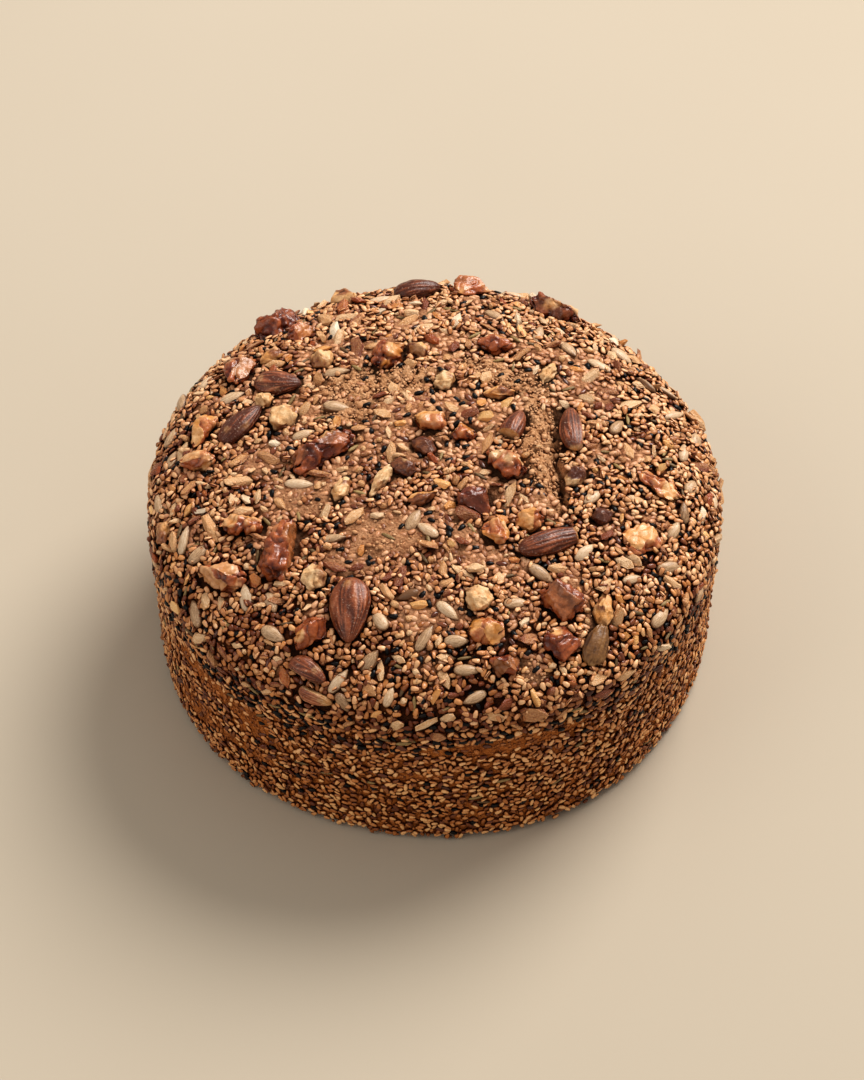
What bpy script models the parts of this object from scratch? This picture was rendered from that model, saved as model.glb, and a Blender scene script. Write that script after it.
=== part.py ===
# A round tea cake: a domed, cracked cake under almonds, walnut pieces and many seeds.
# Units are metres, +Z is up, and the origin is the middle of the flat base.
import functools
import math
import random

import bmesh
import bpy
from mathutils import Matrix, Vector, noise

# Driving dimensions of the bare cake.
SHOULDER_RADIUS = 0.1043
BASE_RADIUS = 0.1026
SHOULDER_HEIGHT = 0.0655
DOME_RISE = 0.0275
DOME_POWER = 2.5          # how square the dome's shoulder is; 2 is a plain ellipse
BASE_ROUND = 0.004        # radius of the rounded lower edge
SPOKES = 48
ROUND_BANDS = 2
SIDE_BANDS = 4
DOME_BANDS = 11

# How far the cake is from a true round.
FLAT_SIDE = math.radians(187)
TWO_LOBES = 0.006
FIVE_LOBES = 0.005
SWELL_HEIGHT = 0.0016
SWELL_SIZE = 0.045
CRAG_HEIGHT = 0.0012
CRAG_SIZE = 0.011
SIDE_DENT = 0.0007
SIDE_DENT_SIZE = 0.020

# The crack in the top: a trench with a long crumbly slope on its left and a steep wall on its right.
CRACK_MIDDLE = (0.0452, 0.0)
CRACK_HEADING = math.radians(93)
CRACK_HALF_LENGTH = 0.028
CRACK_SLOPE_WIDTH = 0.0085
CRACK_WALL_WIDTH = 0.0013
CRACK_DEPTH = 0.0075
CRACK_BEND = 0.0006
CRACK_BEND_TURNS = 2.6    # radians of the bend's wave from the middle to an end
CRACK_BANDS = 8

# The crumbly ridge along the left of the crack.
RIDGE_MIDDLE = (0.0365, 0.002)
RIDGE_HALF_WIDTH = 0.0065
RIDGE_HALF_LENGTH = 0.024
RIDGE_HEIGHT = 0.0028

# Fits and seeding.
SEAT_GAP = 0.0003         # between a nut and the crust under it
SEED_GAP = 0.0008         # between a fused seed and its neighbours
SEED_SUNK = 0.38          # share of a seed's thickness that lies in the crust
SEED_SPREAD = 0.1         # how much one seed's size differs from the next
SEED_LEAN = 0.35          # how far seeds on the side turn away from level, in radians
TOP_REACH = 0.97          # share of the shoulder's radius out to which the top is seeded
SIDE_START = 0.06         # share of the side's height where its seeds start
SIDE_END = 0.98
WANDER = 0.05             # how far a seed strays from its spiral, in radians
EDGE_SHARE = 0.998        # a place on the dome counts as on its edge beyond this share
STEP = 0.02               # how far apart two points are taken to find a slope
MM = 0.001
SEED_OF_DRAWS = 11

# Length, width and thickness of the loose seeds, in millimetres, and how many are tried.
SESAME = (3.4, 2.1, 1.3)
FLAX = (4.4, 2.3, 1.2)
FENNEL = (6.2, 1.9, 1.6)
SIDE_SESAME = 64
TOP_SESAME = 64
TOP_FLAX = 14
TOP_FENNEL = 12

# Shapes of the nuts. Sunk is the share of the thickness that lies in the crust.
ALMOND_SUNK = 0.30
ALMOND_TAPER = 0.28
ALMOND_BULGE = 0.10
ALMOND_THIN = 0.12
ALMOND_CUT = 0.55         # share of the half size at which a broken almond is cut
WALNUT_SUNK = 0.32
WALNUT_SIZE = 0.90        # mean radius before it is broken
WALNUT_LOBES = 0.12       # three lobes around
WALNUT_WAVES = 0.13       # waves along
WALNUT_CUTS = 2
WALNUT_CUT_NEAR = 0.50
WALNUT_CUT_FAR = 0.75
CHUNK_SUNK = 0.34
CHUNK_ROUGH = 0.20        # how far the corners of a chunk stay back, as a share
CHUNK_CUTS = 3
CHUNK_CUT_NEAR = 0.55
CHUNK_CUT_FAR = 0.75
SEED_TAPER = 0.30
SEED_THIN = 0.15
CUT_RISE = math.radians(60)  # how steeply up a broken face may look
NUT_SIDES = 7
NUT_BANDS = 5
SEED_SIDES = 6
SEED_BANDS = 3
KERNEL_BANDS = 4
NUT_SHARP = math.radians(50)

# Almonds: x, y, heading in degrees, length, width, thickness in mm, then the side a piece is broken off,
# in degrees from the heading, or None for a whole one.
ALMONDS = [
    (-29, -68, 266, 25, 14, 9, None),
    (-6, 93, 12, 18, 10, 8, None),
    (-70, 19, 45, 21, 10, 7, None),
    (49, 14, 92, 23, 8, 7, -90),
    (30, 15, 67, 13, 9, 7, 180),
    (40, -40, 23, 22, 10, 8, 0),
    (-57, 38, -11, 18, 11, 7, None),
    (-43, -86, -37, 15, 7, 6, -90),
    (-41, -94, -33, 13, 5, 5, 90),
]

# Walnut pieces: x, y, heading in degrees, length, width, thickness in mm.
WALNUTS = [
    (-58, 77, 30, 20, 12, 11),
    (-49, 69, 40, 12, 7, 7),
    (-71, 49, 86, 18, 12, 9),
    (-17, 50, 60, 17, 11, 10),
    (-40, 3, 37, 28, 11, 10),
    (-85, 5, -6, 14, 9, 7),
    (-84, 19, 62, 16, 9, 7),
    (45, 84, -30, 19, 10, 10),
    (23, 58, -12, 14, 11, 9),
    (11, 11, 0, 10, 8, 7),
    (-1, 15, 0, 12, 10, 8),
    (26, -5, -36, 18, 11, 10),
    (-68, -28, -11, 17, 9, 8),
    (-54, -41, 73, 27, 13, 12),
    (-75, -48, -10, 20, 11, 10),
    (-43, -75, 40, 15, 10, 11),
    (15, -22, -18, 14, 12, 9),
    (22, -36, 0, 11, 11, 8),
    (34, -30, 0, 11, 10, 8),
    (81, -8, -32, 19, 9, 5),
    (74, -33, 33, 15, 12, 5),
    (45, -63, -33, 16, 13, 10),
    (18, -76, 0, 13, 11, 8),
    (44, -78, -46, 12, 12, 10),
    (25, -88, 4, 11, 8, 8),
    (14, 95, 20, 15, 10, 9),
]

# Broken chunks of nut, in the same order of values.
CHUNKS = [
    (-41, 51, 39, 10, 10, 7),
    (-60, 56, 19, 10, 7, 6),
    (-62, 30, -11, 7, 7, 6),
    (-55, 20, 68, 12, 10, 7),
    (-3, 4, -38, 10, 8, 6),
    (-11, -7, -38, 10, 7, 6),
    (-33, -16, 66, 11, 6, 6),
    (-19, -13, 57, 15, 5, 5),
    (-4, -21, 13, 12, 6, 5),
    (-42, -54, 82, 11, 9, 7),
    (4, 36, 28, 9, 8, 7),
    (24, 31, 3, 12, 5, 5),
    (42, 43, 69, 13, 6, 6),
    (51, -9, 49, 11, 7, 7),
    (60, -26, 8, 8, 7, 6),
    (16, -64, 2, 10, 10, 8),
    (60, -63, 80, 13, 8, 6),
    (-97, -21, 92, 11, 7, 5),
    (-6, 53, 0, 8, 8, 7),
    (-34, 92, -30, 11, 9, 8),
]

# The one pumpkin seed, in the same order of values.
PUMPKIN_SEED = (57, -76, 79, 16, 9, 5)

# Sunflower kernels fused to the crust: x, y and heading in degrees; lengths in mm.
KERNELS = [
    (-33, -91, 53), (29, -65, 4), (38, -52, -33), (57, -17, 45), (-89, -29, 65), (-83, -36, 38),
    (-66, -36, -49), (-63, -52, -55), (-84, -57, 91), (-66, -58, 91), (-48, -11, -5), (-99, -8, 92),
    (-36, 43, -6), (-74, 35, 14), (-35, 24, -4), (-47, 11, 22), (23, 76, -51), (50, 58, -62),
    (62, 50, -35), (70, 60, -33), (77, 54, -48), (86, 45, -32), (88, 31, 30), (96, 22, 80),
    (91, 12, 81), (67, 18, 61), (93, -4, 61), (84, -41, 18), (86, -26, 65), (80, -60, 54),
    (5, -69, -42), (8, -80, 1), (-3, -79, 61), (-56, -73, -36), (-22, -86, 47), (-57, -61, -71),
    (-96, 24, 66), (-95, 11, 76), (12, -90, 1), (-7, -31, 65), (39, 65, 77), (31, 56, 83),
    (-36, -38, -4), (-18, -68, -2), (-20, 90, 20), (66, 78, -50), (-84, 48, 60), (30, 97, -15),
]
KERNEL = (10.5, 5.4, 3.6)
KERNEL_SPREAD = 0.18      # how much one kernel's length differs from the next

COLOURS = {
    "cake": ((0.42, 0.21, 0.085), 0.75),
    "almond": ((0.22, 0.085, 0.04), 0.45),
    "walnut": ((0.40, 0.17, 0.07), 0.35),
    "chunk": ((0.72, 0.50, 0.25), 0.45),
    "pumpkin_seed": ((0.25, 0.20, 0.10), 0.50),
}


def clear_scene():
    for thing in list(bpy.data.objects):
        bpy.data.objects.remove(thing, do_unlink=True)


def make_material(name, kind):
    colour, roughness = COLOURS[kind]
    material = bpy.data.materials.new(name)
    material.use_nodes = True
    shader = material.node_tree.nodes["Principled BSDF"]
    shader.inputs["Base Color"].default_value = (*colour, 1.0)
    shader.inputs["Roughness"].default_value = roughness
    shader.inputs["Metallic"].default_value = 0.0
    return material


def add_object(name, body, kind):
    """Turn a bmesh into an object of its own with its own material."""
    bmesh.ops.recalc_face_normals(body, faces=body.faces)
    mesh = bpy.data.meshes.new(name)
    body.to_mesh(mesh)
    body.free()
    mesh.materials.append(make_material(name, kind))
    thing = bpy.data.objects.new(name, mesh)
    bpy.context.scene.collection.objects.link(thing)
    return thing


# The bare cake.

def outline(heading):
    """Share of the plain radius that the cake has at a heading."""
    turn = heading - FLAT_SIDE
    return 1 - TWO_LOBES * math.cos(2 * turn) - FIVE_LOBES * math.cos(5 * turn)


def top_relief(x, y):
    """Rise of the top above the plain dome: slow swells, crags and the ridge."""
    swell = SWELL_HEIGHT * noise.noise(Vector((x, y, 0.3)) / SWELL_SIZE)
    crag = CRAG_HEIGHT * noise.noise(Vector((x, y, 0.7)) / CRAG_SIZE)
    across = (x - RIDGE_MIDDLE[0]) / RIDGE_HALF_WIDTH
    along = (y - RIDGE_MIDDLE[1]) / RIDGE_HALF_LENGTH
    return swell + crag + RIDGE_HEIGHT * math.exp(-across ** 2 - along ** 2)


def uneven(point):
    """Move a point of the plain turned cake to where it lies on the uneven one."""
    share = outline(math.atan2(point.y, point.x))
    up_side = min(max(point.z / SHOULDER_HEIGHT, 0.0), 1.0)
    up_dome = min(max((point.z - SHOULDER_HEIGHT) / DOME_RISE, 0.0), 1.0)
    dent = SIDE_DENT * math.sin(math.pi * up_side) * noise.noise(point / SIDE_DENT_SIZE)
    radius = math.hypot(point.x, point.y)
    share += dent / max(radius, SIDE_DENT_SIZE)
    x = point.x * share
    y = point.y * share
    fade = min(2 * up_dome, 1.0)
    return Vector((x, y, point.z + top_relief(x, y) * fade))


def skin(climb, grow=0.0):
    """Plain radius and height of the crust. climb runs 0 to 1 up the side, 1 to 2 over the dome."""
    if climb <= 1:
        lean = SHOULDER_RADIUS - BASE_RADIUS
        return BASE_RADIUS + lean * climb + grow, SHOULDER_HEIGHT * climb
    lift = (climb - 1) * math.pi / 2
    radius = SHOULDER_RADIUS * max(math.cos(lift), 0.0) ** (2 / DOME_POWER)
    return radius + grow * math.cos(lift), SHOULDER_HEIGHT + (DOME_RISE + grow) * math.sin(lift)


def make_core(name, grow=0.0):
    """Turn the cake's profile, then press it out of round."""
    profile = [(0.0, -grow)]
    for step in range(ROUND_BANDS + 1):
        turn = step / ROUND_BANDS * math.pi / 2
        reach = BASE_ROUND + grow
        radius = BASE_RADIUS - BASE_ROUND + reach * math.sin(turn)
        profile.append((radius, BASE_ROUND - reach * math.cos(turn)))
    profile += [skin(step / SIDE_BANDS, grow) for step in range(1, SIDE_BANDS + 1)]
    profile += [skin(1 + step / DOME_BANDS, grow) for step in range(1, DOME_BANDS)]
    profile.append((0.0, skin(2, grow)[1]))
    body = bmesh.new()
    points = [body.verts.new((radius, 0, height)) for radius, height in profile]
    edges = [body.edges.new(pair) for pair in zip(points, points[1:])]
    bmesh.ops.spin(body, geom=points + edges, cent=(0, 0, 0), axis=(0, 0, 1),
                   angle=2 * math.pi, steps=SPOKES, use_merge=True)
    bmesh.ops.remove_doubles(body, verts=body.verts, dist=1e-6)
    for vertex in body.verts:
        vertex.co = uneven(vertex.co.copy())
    bmesh.ops.triangulate(body, faces=body.faces)
    core = add_object(name, body, "cake")
    core.data.shade_smooth()
    return core


def cut_crack(core):
    """Cut the trench: wedge-shaped across, fading out towards its ends and bent a little along its way."""
    body = bmesh.new()
    long_ball(body, 4, CRACK_BANDS)
    for vertex in body.verts:
        bend = CRACK_BEND * math.sin(CRACK_BEND_TURNS * vertex.co.x)
        width = CRACK_SLOPE_WIDTH if vertex.co.y > 0 else CRACK_WALL_WIDTH
        vertex.co.x *= CRACK_HALF_LENGTH
        vertex.co.y = vertex.co.y * width + bend
        vertex.co.z *= CRACK_DEPTH
    body.transform(place_on_top(*CRACK_MIDDLE, CRACK_HEADING))
    bmesh.ops.triangulate(body, faces=body.faces)
    cutter = add_object("crack_cutter", body, "cake")
    apply_boolean(core, "DIFFERENCE", cutter=cutter)
    bpy.data.objects.remove(cutter, do_unlink=True)


def apply_boolean(thing, operation, cutter=None, collection=None):
    """Join or cut a solid and keep the result as its mesh."""
    joint = thing.modifiers.new("joint", "BOOLEAN")
    joint.operation = operation
    joint.solver = "EXACT"
    if collection is None:
        joint.object = cutter
    else:
        joint.operand_type = "COLLECTION"
        joint.collection = collection
    bpy.context.view_layer.update()
    graph = bpy.context.evaluated_depsgraph_get()
    result = bpy.data.meshes.new_from_object(thing.evaluated_get(graph))
    thing.modifiers.clear()
    thing.data = result


# Places on the crust.

def crust_point(heading, climb):
    radius, height = skin(climb)
    return uneven(Vector((radius * math.cos(heading), radius * math.sin(heading), height)))


def place_on_crust(heading, climb, turn):
    """Frame of a piece lying on the crust: X along its length, Z out of the crust."""
    middle = crust_point(heading, climb)
    around = crust_point(heading + STEP, climb) - crust_point(heading - STEP, climb)
    upward = crust_point(heading, min(climb + STEP, 2.0)) - crust_point(heading, climb - STEP)
    out = around.cross(upward).normalized()
    along = Vector((math.cos(turn), math.sin(turn), 0))
    if climb < 1:
        along = around.normalized() * math.cos(turn) + Vector((0, 0, math.sin(turn)))
    along = (along - out * along.dot(out)).normalized()
    across = out.cross(along)
    frame = Matrix((along, across, out)).transposed().to_4x4()
    frame.translation = middle
    return frame


def place_on_top(x, y, turn):
    """Frame on the dome above a point of the plan."""
    heading = math.atan2(y, x)
    share = min(math.hypot(x, y) / (SHOULDER_RADIUS * outline(heading)), EDGE_SHARE)
    lift = math.acos(share ** (DOME_POWER / 2))
    return place_on_crust(heading, 1 + lift / (math.pi / 2), turn)


# Pieces of nut. Each is a closed shape in a box from -1 to 1, sized and set on the crust after.

def long_ball(body, sides, bands):
    """A ball whose poles are its two ends along X."""
    bmesh.ops.create_uvsphere(body, u_segments=sides, v_segments=bands, radius=1)
    bmesh.ops.rotate(body, verts=body.verts, matrix=Matrix.Rotation(math.pi / 2, 3, "Y"))


def break_off(body, side, rise, depth):
    """Leave a flat broken face: what lies beyond a plane goes and the opening is filled."""
    out = Vector((math.cos(side) * math.cos(rise), math.sin(side) * math.cos(rise), math.sin(rise)))
    bmesh.ops.bisect_plane(body, geom=body.verts[:] + body.edges[:] + body.faces[:], dist=1e-6,
                           plane_co=out * depth, plane_no=out, clear_outer=True)
    bmesh.ops.holes_fill(body, edges=body.edges, sides=0)


def break_at_random(body, cuts, near, far, draw):
    for _ in range(cuts):
        side = draw.uniform(0, 2 * math.pi)
        rise = draw.uniform(0, CUT_RISE)
        break_off(body, side, rise, draw.uniform(near, far))


def fill_box(body):
    """Stretch a broken shape until it reaches from -1 to 1 along each axis again."""
    for axis in range(3):
        low = min(vertex.co[axis] for vertex in body.verts)
        high = max(vertex.co[axis] for vertex in body.verts)
        for vertex in body.verts:
            vertex.co[axis] = 2 * (vertex.co[axis] - low) / (high - low) - 1


def almond_shape(body, broken):
    long_ball(body, NUT_SIDES, NUT_BANDS)
    for vertex in body.verts:
        vertex.co.y *= 1 - ALMOND_TAPER * vertex.co.x - ALMOND_BULGE * vertex.co.x ** 2
        vertex.co.z *= 1 - ALMOND_THIN * vertex.co.x
    if broken is not None:
        break_off(body, math.radians(broken), 0.0, ALMOND_CUT)
        fill_box(body)


def walnut_shape(body, draw):
    long_ball(body, NUT_SIDES, NUT_BANDS)
    first = draw.uniform(0, 2 * math.pi)
    second = draw.uniform(0, 2 * math.pi)
    for vertex in body.verts:
        around = math.atan2(vertex.co.z, vertex.co.y)
        lobes = WALNUT_LOBES * math.sin(3 * around + first)
        waves = WALNUT_WAVES * math.sin(5 * vertex.co.x + second)
        vertex.co *= WALNUT_SIZE + lobes + waves
    break_at_random(body, WALNUT_CUTS, WALNUT_CUT_NEAR, WALNUT_CUT_FAR, draw)
    fill_box(body)


def chunk_shape(body, draw):
    bmesh.ops.create_icosphere(body, subdivisions=1, radius=1)
    for vertex in body.verts:
        vertex.co *= draw.uniform(1 - CHUNK_ROUGH, 1.0)
    break_at_random(body, CHUNK_CUTS, CHUNK_CUT_NEAR, CHUNK_CUT_FAR, draw)
    fill_box(body)


def point_one_end(body):
    for vertex in body.verts:
        vertex.co.y *= 1 - SEED_TAPER * vertex.co.x
        vertex.co.z *= 1 - SEED_THIN * vertex.co.x


def kernel_shape(body):
    long_ball(body, SEED_SIDES, KERNEL_BANDS)
    point_one_end(body)


def seed_shape(body):
    long_ball(body, SEED_SIDES, SEED_BANDS)
    point_one_end(body)


def make_piece(name, kind, shape, frame, size, sunk):
    """Size a shape in millimetres and set it in its place, sunk by a share of its thickness."""
    length, width, thickness = size
    body = bmesh.new()
    shape(body)
    bmesh.ops.scale(body, verts=body.verts, vec=(length * MM / 2, width * MM / 2, thickness * MM / 2))
    bmesh.ops.translate(body, verts=body.verts, vec=(0, 0, thickness * MM * (0.5 - sunk)))
    body.transform(frame)
    bmesh.ops.triangulate(body, faces=body.faces)
    return add_object(name, body, kind)


def make_nut(name, kind, shape, row, sunk, seat):
    """One nut on the top, trimmed underneath to the crust it lies on."""
    x, y, heading, length, width, thickness = row
    frame = place_on_top(x * MM, y * MM, math.radians(heading))
    nut = make_piece(name, kind, shape, frame, (length, width, thickness), sunk)
    apply_boolean(nut, "DIFFERENCE", cutter=seat)
    if kind != "chunk":
        nut.data.shade_smooth()
        nut.data.set_sharp_from_angle(angle=NUT_SHARP)
    return frame.inverted(), length, width


def make_nuts(seat, draw):
    """All the nuts; gives back where each lies, so that the seeds keep clear of them."""
    taken = []
    for count, (*row, broken) in enumerate(ALMONDS, 1):
        shape = functools.partial(almond_shape, broken=broken)
        taken.append(make_nut(f"almond_{count}", "almond", shape, row, ALMOND_SUNK, seat))
    shape = functools.partial(walnut_shape, draw=draw)
    for count, row in enumerate(WALNUTS, 1):
        taken.append(make_nut(f"walnut_{count}", "walnut", shape, row, WALNUT_SUNK, seat))
    shape = functools.partial(chunk_shape, draw=draw)
    for count, row in enumerate(CHUNKS, 1):
        taken.append(make_nut(f"chunk_{count}", "chunk", shape, row, CHUNK_SUNK, seat))
    taken.append(make_nut("pumpkin_seed", "pumpkin_seed", kernel_shape, PUMPKIN_SEED, ALMOND_SUNK, seat))
    return taken


# Seeds, fused to the crust.

def is_free(point, reach, taken, seeds):
    """Whether a seed of this half length stays clear of the nuts and of the other seeds."""
    for seen_from, length, width in taken:
        local = seen_from @ point
        half_length = length * MM / 2 + reach
        half_width = width * MM / 2 + reach
        if (local.x / half_length) ** 2 + (local.y / half_width) ** 2 < 1:
            return False
    for other, other_reach in seeds:
        if (point - other).length < reach + other_reach:
            return False
    return True


def add_seed(collection, shape, frame, size, taken, seeds):
    """Add one seed to the collection if there is room for it."""
    reach = size[0] * MM / 2 + SEED_GAP
    if not is_free(frame.translation, reach, taken, seeds):
        return
    seed = make_piece(f"seed_{len(seeds)}", "cake", shape, frame, size, SEED_SUNK)
    bpy.context.scene.collection.objects.unlink(seed)
    collection.objects.link(seed)
    seeds.append((frame.translation.copy(), reach))


def varied(size, spread, draw):
    share = draw.uniform(1 - spread, 1 + spread)
    return tuple(value * share for value in size)


def spread_on_top(collection, size, count, taken, seeds, draw):
    """Spread seeds evenly over the dome along a sunflower spiral, each turned its own way."""
    golden = math.pi * (3 - math.sqrt(5))
    offset = draw.uniform(0, 2 * math.pi)
    for step in range(count):
        radius = TOP_REACH * SHOULDER_RADIUS * math.sqrt((step + 0.5) / count)
        heading = offset + step * golden + draw.uniform(-WANDER, WANDER)
        turn = draw.uniform(0, math.pi)
        frame = place_on_top(radius * math.cos(heading), radius * math.sin(heading), turn)
        add_seed(collection, seed_shape, frame, varied(size, SEED_SPREAD, draw), taken, seeds)


def spread_on_side(collection, size, count, taken, seeds, draw):
    """Spread seeds evenly round the side, lying mostly level."""
    golden = math.pi * (3 - math.sqrt(5))
    for step in range(count):
        climb = SIDE_START + (SIDE_END - SIDE_START) * (step + 0.5) / count
        turn = draw.gauss(0, SEED_LEAN)
        frame = place_on_crust(step * golden, climb, turn)
        add_seed(collection, seed_shape, frame, varied(size, SEED_SPREAD, draw), taken, seeds)


def fuse_seeds(cake, taken, draw):
    """Largest seeds first, then the rest where there is room, all joined to the cake at once."""
    collection = bpy.data.collections.new("seeds")
    bpy.context.scene.collection.children.link(collection)
    seeds = []
    for x, y, heading in KERNELS:
        frame = place_on_top(x * MM, y * MM, math.radians(heading))
        size = varied(KERNEL, KERNEL_SPREAD, draw)
        add_seed(collection, kernel_shape, frame, size, taken, seeds)
    spread_on_top(collection, FENNEL, TOP_FENNEL, taken, seeds, draw)
    spread_on_top(collection, FLAX, TOP_FLAX, taken, seeds, draw)
    spread_on_top(collection, SESAME, TOP_SESAME, taken, seeds, draw)
    spread_on_side(collection, SESAME, SIDE_SESAME, taken, seeds, draw)
    apply_boolean(cake, "UNION", collection=collection)
    for seed in list(collection.objects):
        bpy.data.objects.remove(seed, do_unlink=True)
    bpy.data.collections.remove(collection)


def drop_scraps(thing):
    """Keep only the largest joined part of a solid."""
    body = bmesh.new()
    body.from_mesh(thing.data)
    left = set(body.verts)
    parts = []
    while left:
        part = {left.pop()}
        edge_of_part = list(part)
        while edge_of_part:
            vertex = edge_of_part.pop()
            fresh = {edge.other_vert(vertex) for edge in vertex.link_edges} - part
            part |= fresh
            edge_of_part.extend(fresh)
        left -= part
        parts.append(part)
    parts.sort(key=len)
    for part in parts[:-1]:
        bmesh.ops.delete(body, geom=list(part), context="VERTS")
    body.to_mesh(thing.data)
    body.free()


def main():
    clear_scene()
    draw = random.Random(SEED_OF_DRAWS)
    cake = make_core("cake")
    cut_crack(cake)
    seat = make_core("seat_cutter", SEAT_GAP)
    taken = make_nuts(seat, draw)
    bpy.data.objects.remove(seat, do_unlink=True)
    crack = place_on_top(*CRACK_MIDDLE, CRACK_HEADING)
    taken.append((crack.inverted(), 2 * CRACK_HALF_LENGTH / MM, 2 * CRACK_SLOPE_WIDTH / MM))
    fuse_seeds(cake, taken, draw)
    drop_scraps(cake)


main()
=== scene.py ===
import math
import random

import bmesh
import bpy
import numpy as np
from mathutils import Matrix, Vector, noise


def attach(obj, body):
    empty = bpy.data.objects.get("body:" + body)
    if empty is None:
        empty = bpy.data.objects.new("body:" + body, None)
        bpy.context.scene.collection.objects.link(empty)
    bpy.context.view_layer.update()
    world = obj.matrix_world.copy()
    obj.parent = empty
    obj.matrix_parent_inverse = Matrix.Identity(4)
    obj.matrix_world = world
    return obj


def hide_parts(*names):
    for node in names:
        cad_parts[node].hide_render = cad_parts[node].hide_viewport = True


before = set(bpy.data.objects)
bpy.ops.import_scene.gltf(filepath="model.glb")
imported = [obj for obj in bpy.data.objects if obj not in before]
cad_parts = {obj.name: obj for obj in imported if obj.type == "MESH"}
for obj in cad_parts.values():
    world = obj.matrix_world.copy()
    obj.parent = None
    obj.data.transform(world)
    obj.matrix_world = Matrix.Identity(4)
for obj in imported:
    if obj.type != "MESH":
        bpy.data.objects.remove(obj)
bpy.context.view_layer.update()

mm = 0.001
print("tea cake: frame loaded,", len(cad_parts), "nodes")


def limited(value):
    return min(max(value, 0.0), 1.0)


def ripple(point, size, shift=(0, 0, 0)):    # smooth bumps of about this size, roughly -1 to 1
    return noise.noise(Vector(point) / size + Vector(shift))


# camera and light

view = {"elevation": 50.9, "distance": 1.475, "aim": (-0.0005, 0.0, 0.0455), "lens": 129.7, "sensor": 36,
        "near": 0.01}
lights = {    # place, size, power and colour
    "key": ((1.55, 1.9, 2.35), 2.2, 118.0, (1.0, 0.97, 0.93)),
    "fill": ((-1.2, -0.6, 1.1), 1.2, 4.0, (1.0, 0.96, 0.9)),
}
lightAim = (0, 0, 0.05)
sky = {"Color": (1.0, 0.965, 0.92, 1), "Strength": 0.43}


def setUp(thing, spot, aim):
    thing.location = spot
    thing.rotation_euler = (Vector(aim) - Vector(spot)).to_track_quat("-Z", "Y").to_euler()
    bpy.context.scene.collection.objects.link(thing)


def placeCamera():
    rise = math.radians(view["elevation"])
    camera = bpy.data.objects.new("camera", bpy.data.cameras.new("camera"))
    setUp(camera, Vector((0, -math.cos(rise), math.sin(rise))) * view["distance"], view["aim"])
    camera.data.lens = view["lens"]
    camera.data.sensor_width = view["sensor"]
    camera.data.clip_start = view["near"]
    bpy.context.scene.camera = camera


def lightStudio():
    world = bpy.data.worlds.new("studio")
    world.use_nodes = True
    for key, value in sky.items():
        world.node_tree.nodes["Background"].inputs[key].default_value = value
    bpy.context.scene.world = world
    for name, (spot, size, power, colour) in lights.items():
        lamp = bpy.data.lights.new(name, "AREA")
        lamp.shape = "DISK"
        lamp.size = size
        lamp.energy = power
        lamp.color = colour
        setUp(bpy.data.objects.new(name, lamp), spot, lightAim)
    bpy.context.scene.view_settings.view_transform = "Standard"
    bpy.context.scene.view_settings.look = "Medium High Contrast"


placeCamera()
lightStudio()


# shader helpers

def feed(tree, socket, value):    # links a socket, or sets it; a colour comes as red, green and blue
    if isinstance(value, bpy.types.NodeSocket):
        tree.links.new(value, socket)
    elif socket.type == "RGBA":
        socket.default_value = (*value, 1)
    else:
        socket.default_value = value


def addNode(tree, kind, inputs=None, **settings):
    node = tree.nodes.new("ShaderNode" + kind)
    for key, value in settings.items():
        setattr(node, key, value)
    for key, value in (inputs or {}).items():
        feed(tree, node.inputs[key], value)
    return node


def reckon(tree, operation, *values, **settings):
    return addNode(tree, "Math", dict(enumerate(values)), operation=operation, **settings).outputs[0]


def addUp(tree, start, *parts):    # start, and shares of other values
    for value, share in parts:
        start = reckon(tree, "MULTIPLY_ADD", value, share, start)
    return start


def spreadOut(tree, value, low, high, first=0.0, last=1.0, kind="LINEAR"):
    ranges = {"Value": value, "From Min": low, "From Max": high, "To Min": first, "To Max": last}
    return addNode(tree, "MapRange", ranges, interpolation_type=kind).outputs["Result"]


def mixColour(tree, share, under, over, mode="MIX"):
    inputs = {"Factor": share, 6: under, 7: over}
    return addNode(tree, "Mix", inputs, data_type="RGBA", blend_type=mode).outputs[2]


def startGroup(name, takes, gives):    # names and kinds of its inputs and outputs
    group = bpy.data.node_groups.new(name, "ShaderNodeTree")
    for side, sockets in (("INPUT", takes), ("OUTPUT", gives)):
        for label, kind in sockets.items():
            group.interface.new_socket(name=label, in_out=side, socket_type="NodeSocket" + kind)
    return group, group.nodes.new("NodeGroupInput").outputs, group.nodes.new("NodeGroupOutput").inputs


def makePatchMask():    # soft edged patches, 0 to 1
    takes = {"Vector": "Vector", "Scale": "Float", "Low": "Float", "High": "Float"}
    group, into, out = startGroup("patchMask", takes, {"Mask": "Float"})
    inputs = {"Vector": into["Vector"], "Scale": into["Scale"], "Detail": 4.0, "Roughness": 0.6}
    cloud = addNode(group, "TexNoise", inputs).outputs["Fac"]
    feed(group, out["Mask"], spreadOut(group, cloud, into["Low"], into["High"], kind="SMOOTHSTEP"))
    return group


def makeGrain():    # two sizes of roughness as a bumped normal
    takes = {"Vector": "Vector", "Scale": "Float", "Strength": "Float", "Distance": "Float"}
    group, into, out = startGroup("grain", takes, {"Normal": "Vector"})
    inputs = {"Vector": into["Vector"], "Scale": into["Scale"]}
    coarse = addNode(group, "TexNoise", {**inputs, "Detail": 5.0, "Roughness": 0.65}).outputs["Fac"]
    height = addUp(group, coarse, (addNode(group, "TexVoronoi", inputs).outputs["Distance"], 0.6))
    inputs = {"Height": height, "Strength": into["Strength"], "Distance": into["Distance"]}
    feed(group, out["Normal"], addNode(group, "Bump", inputs).outputs["Normal"])
    return group


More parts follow.
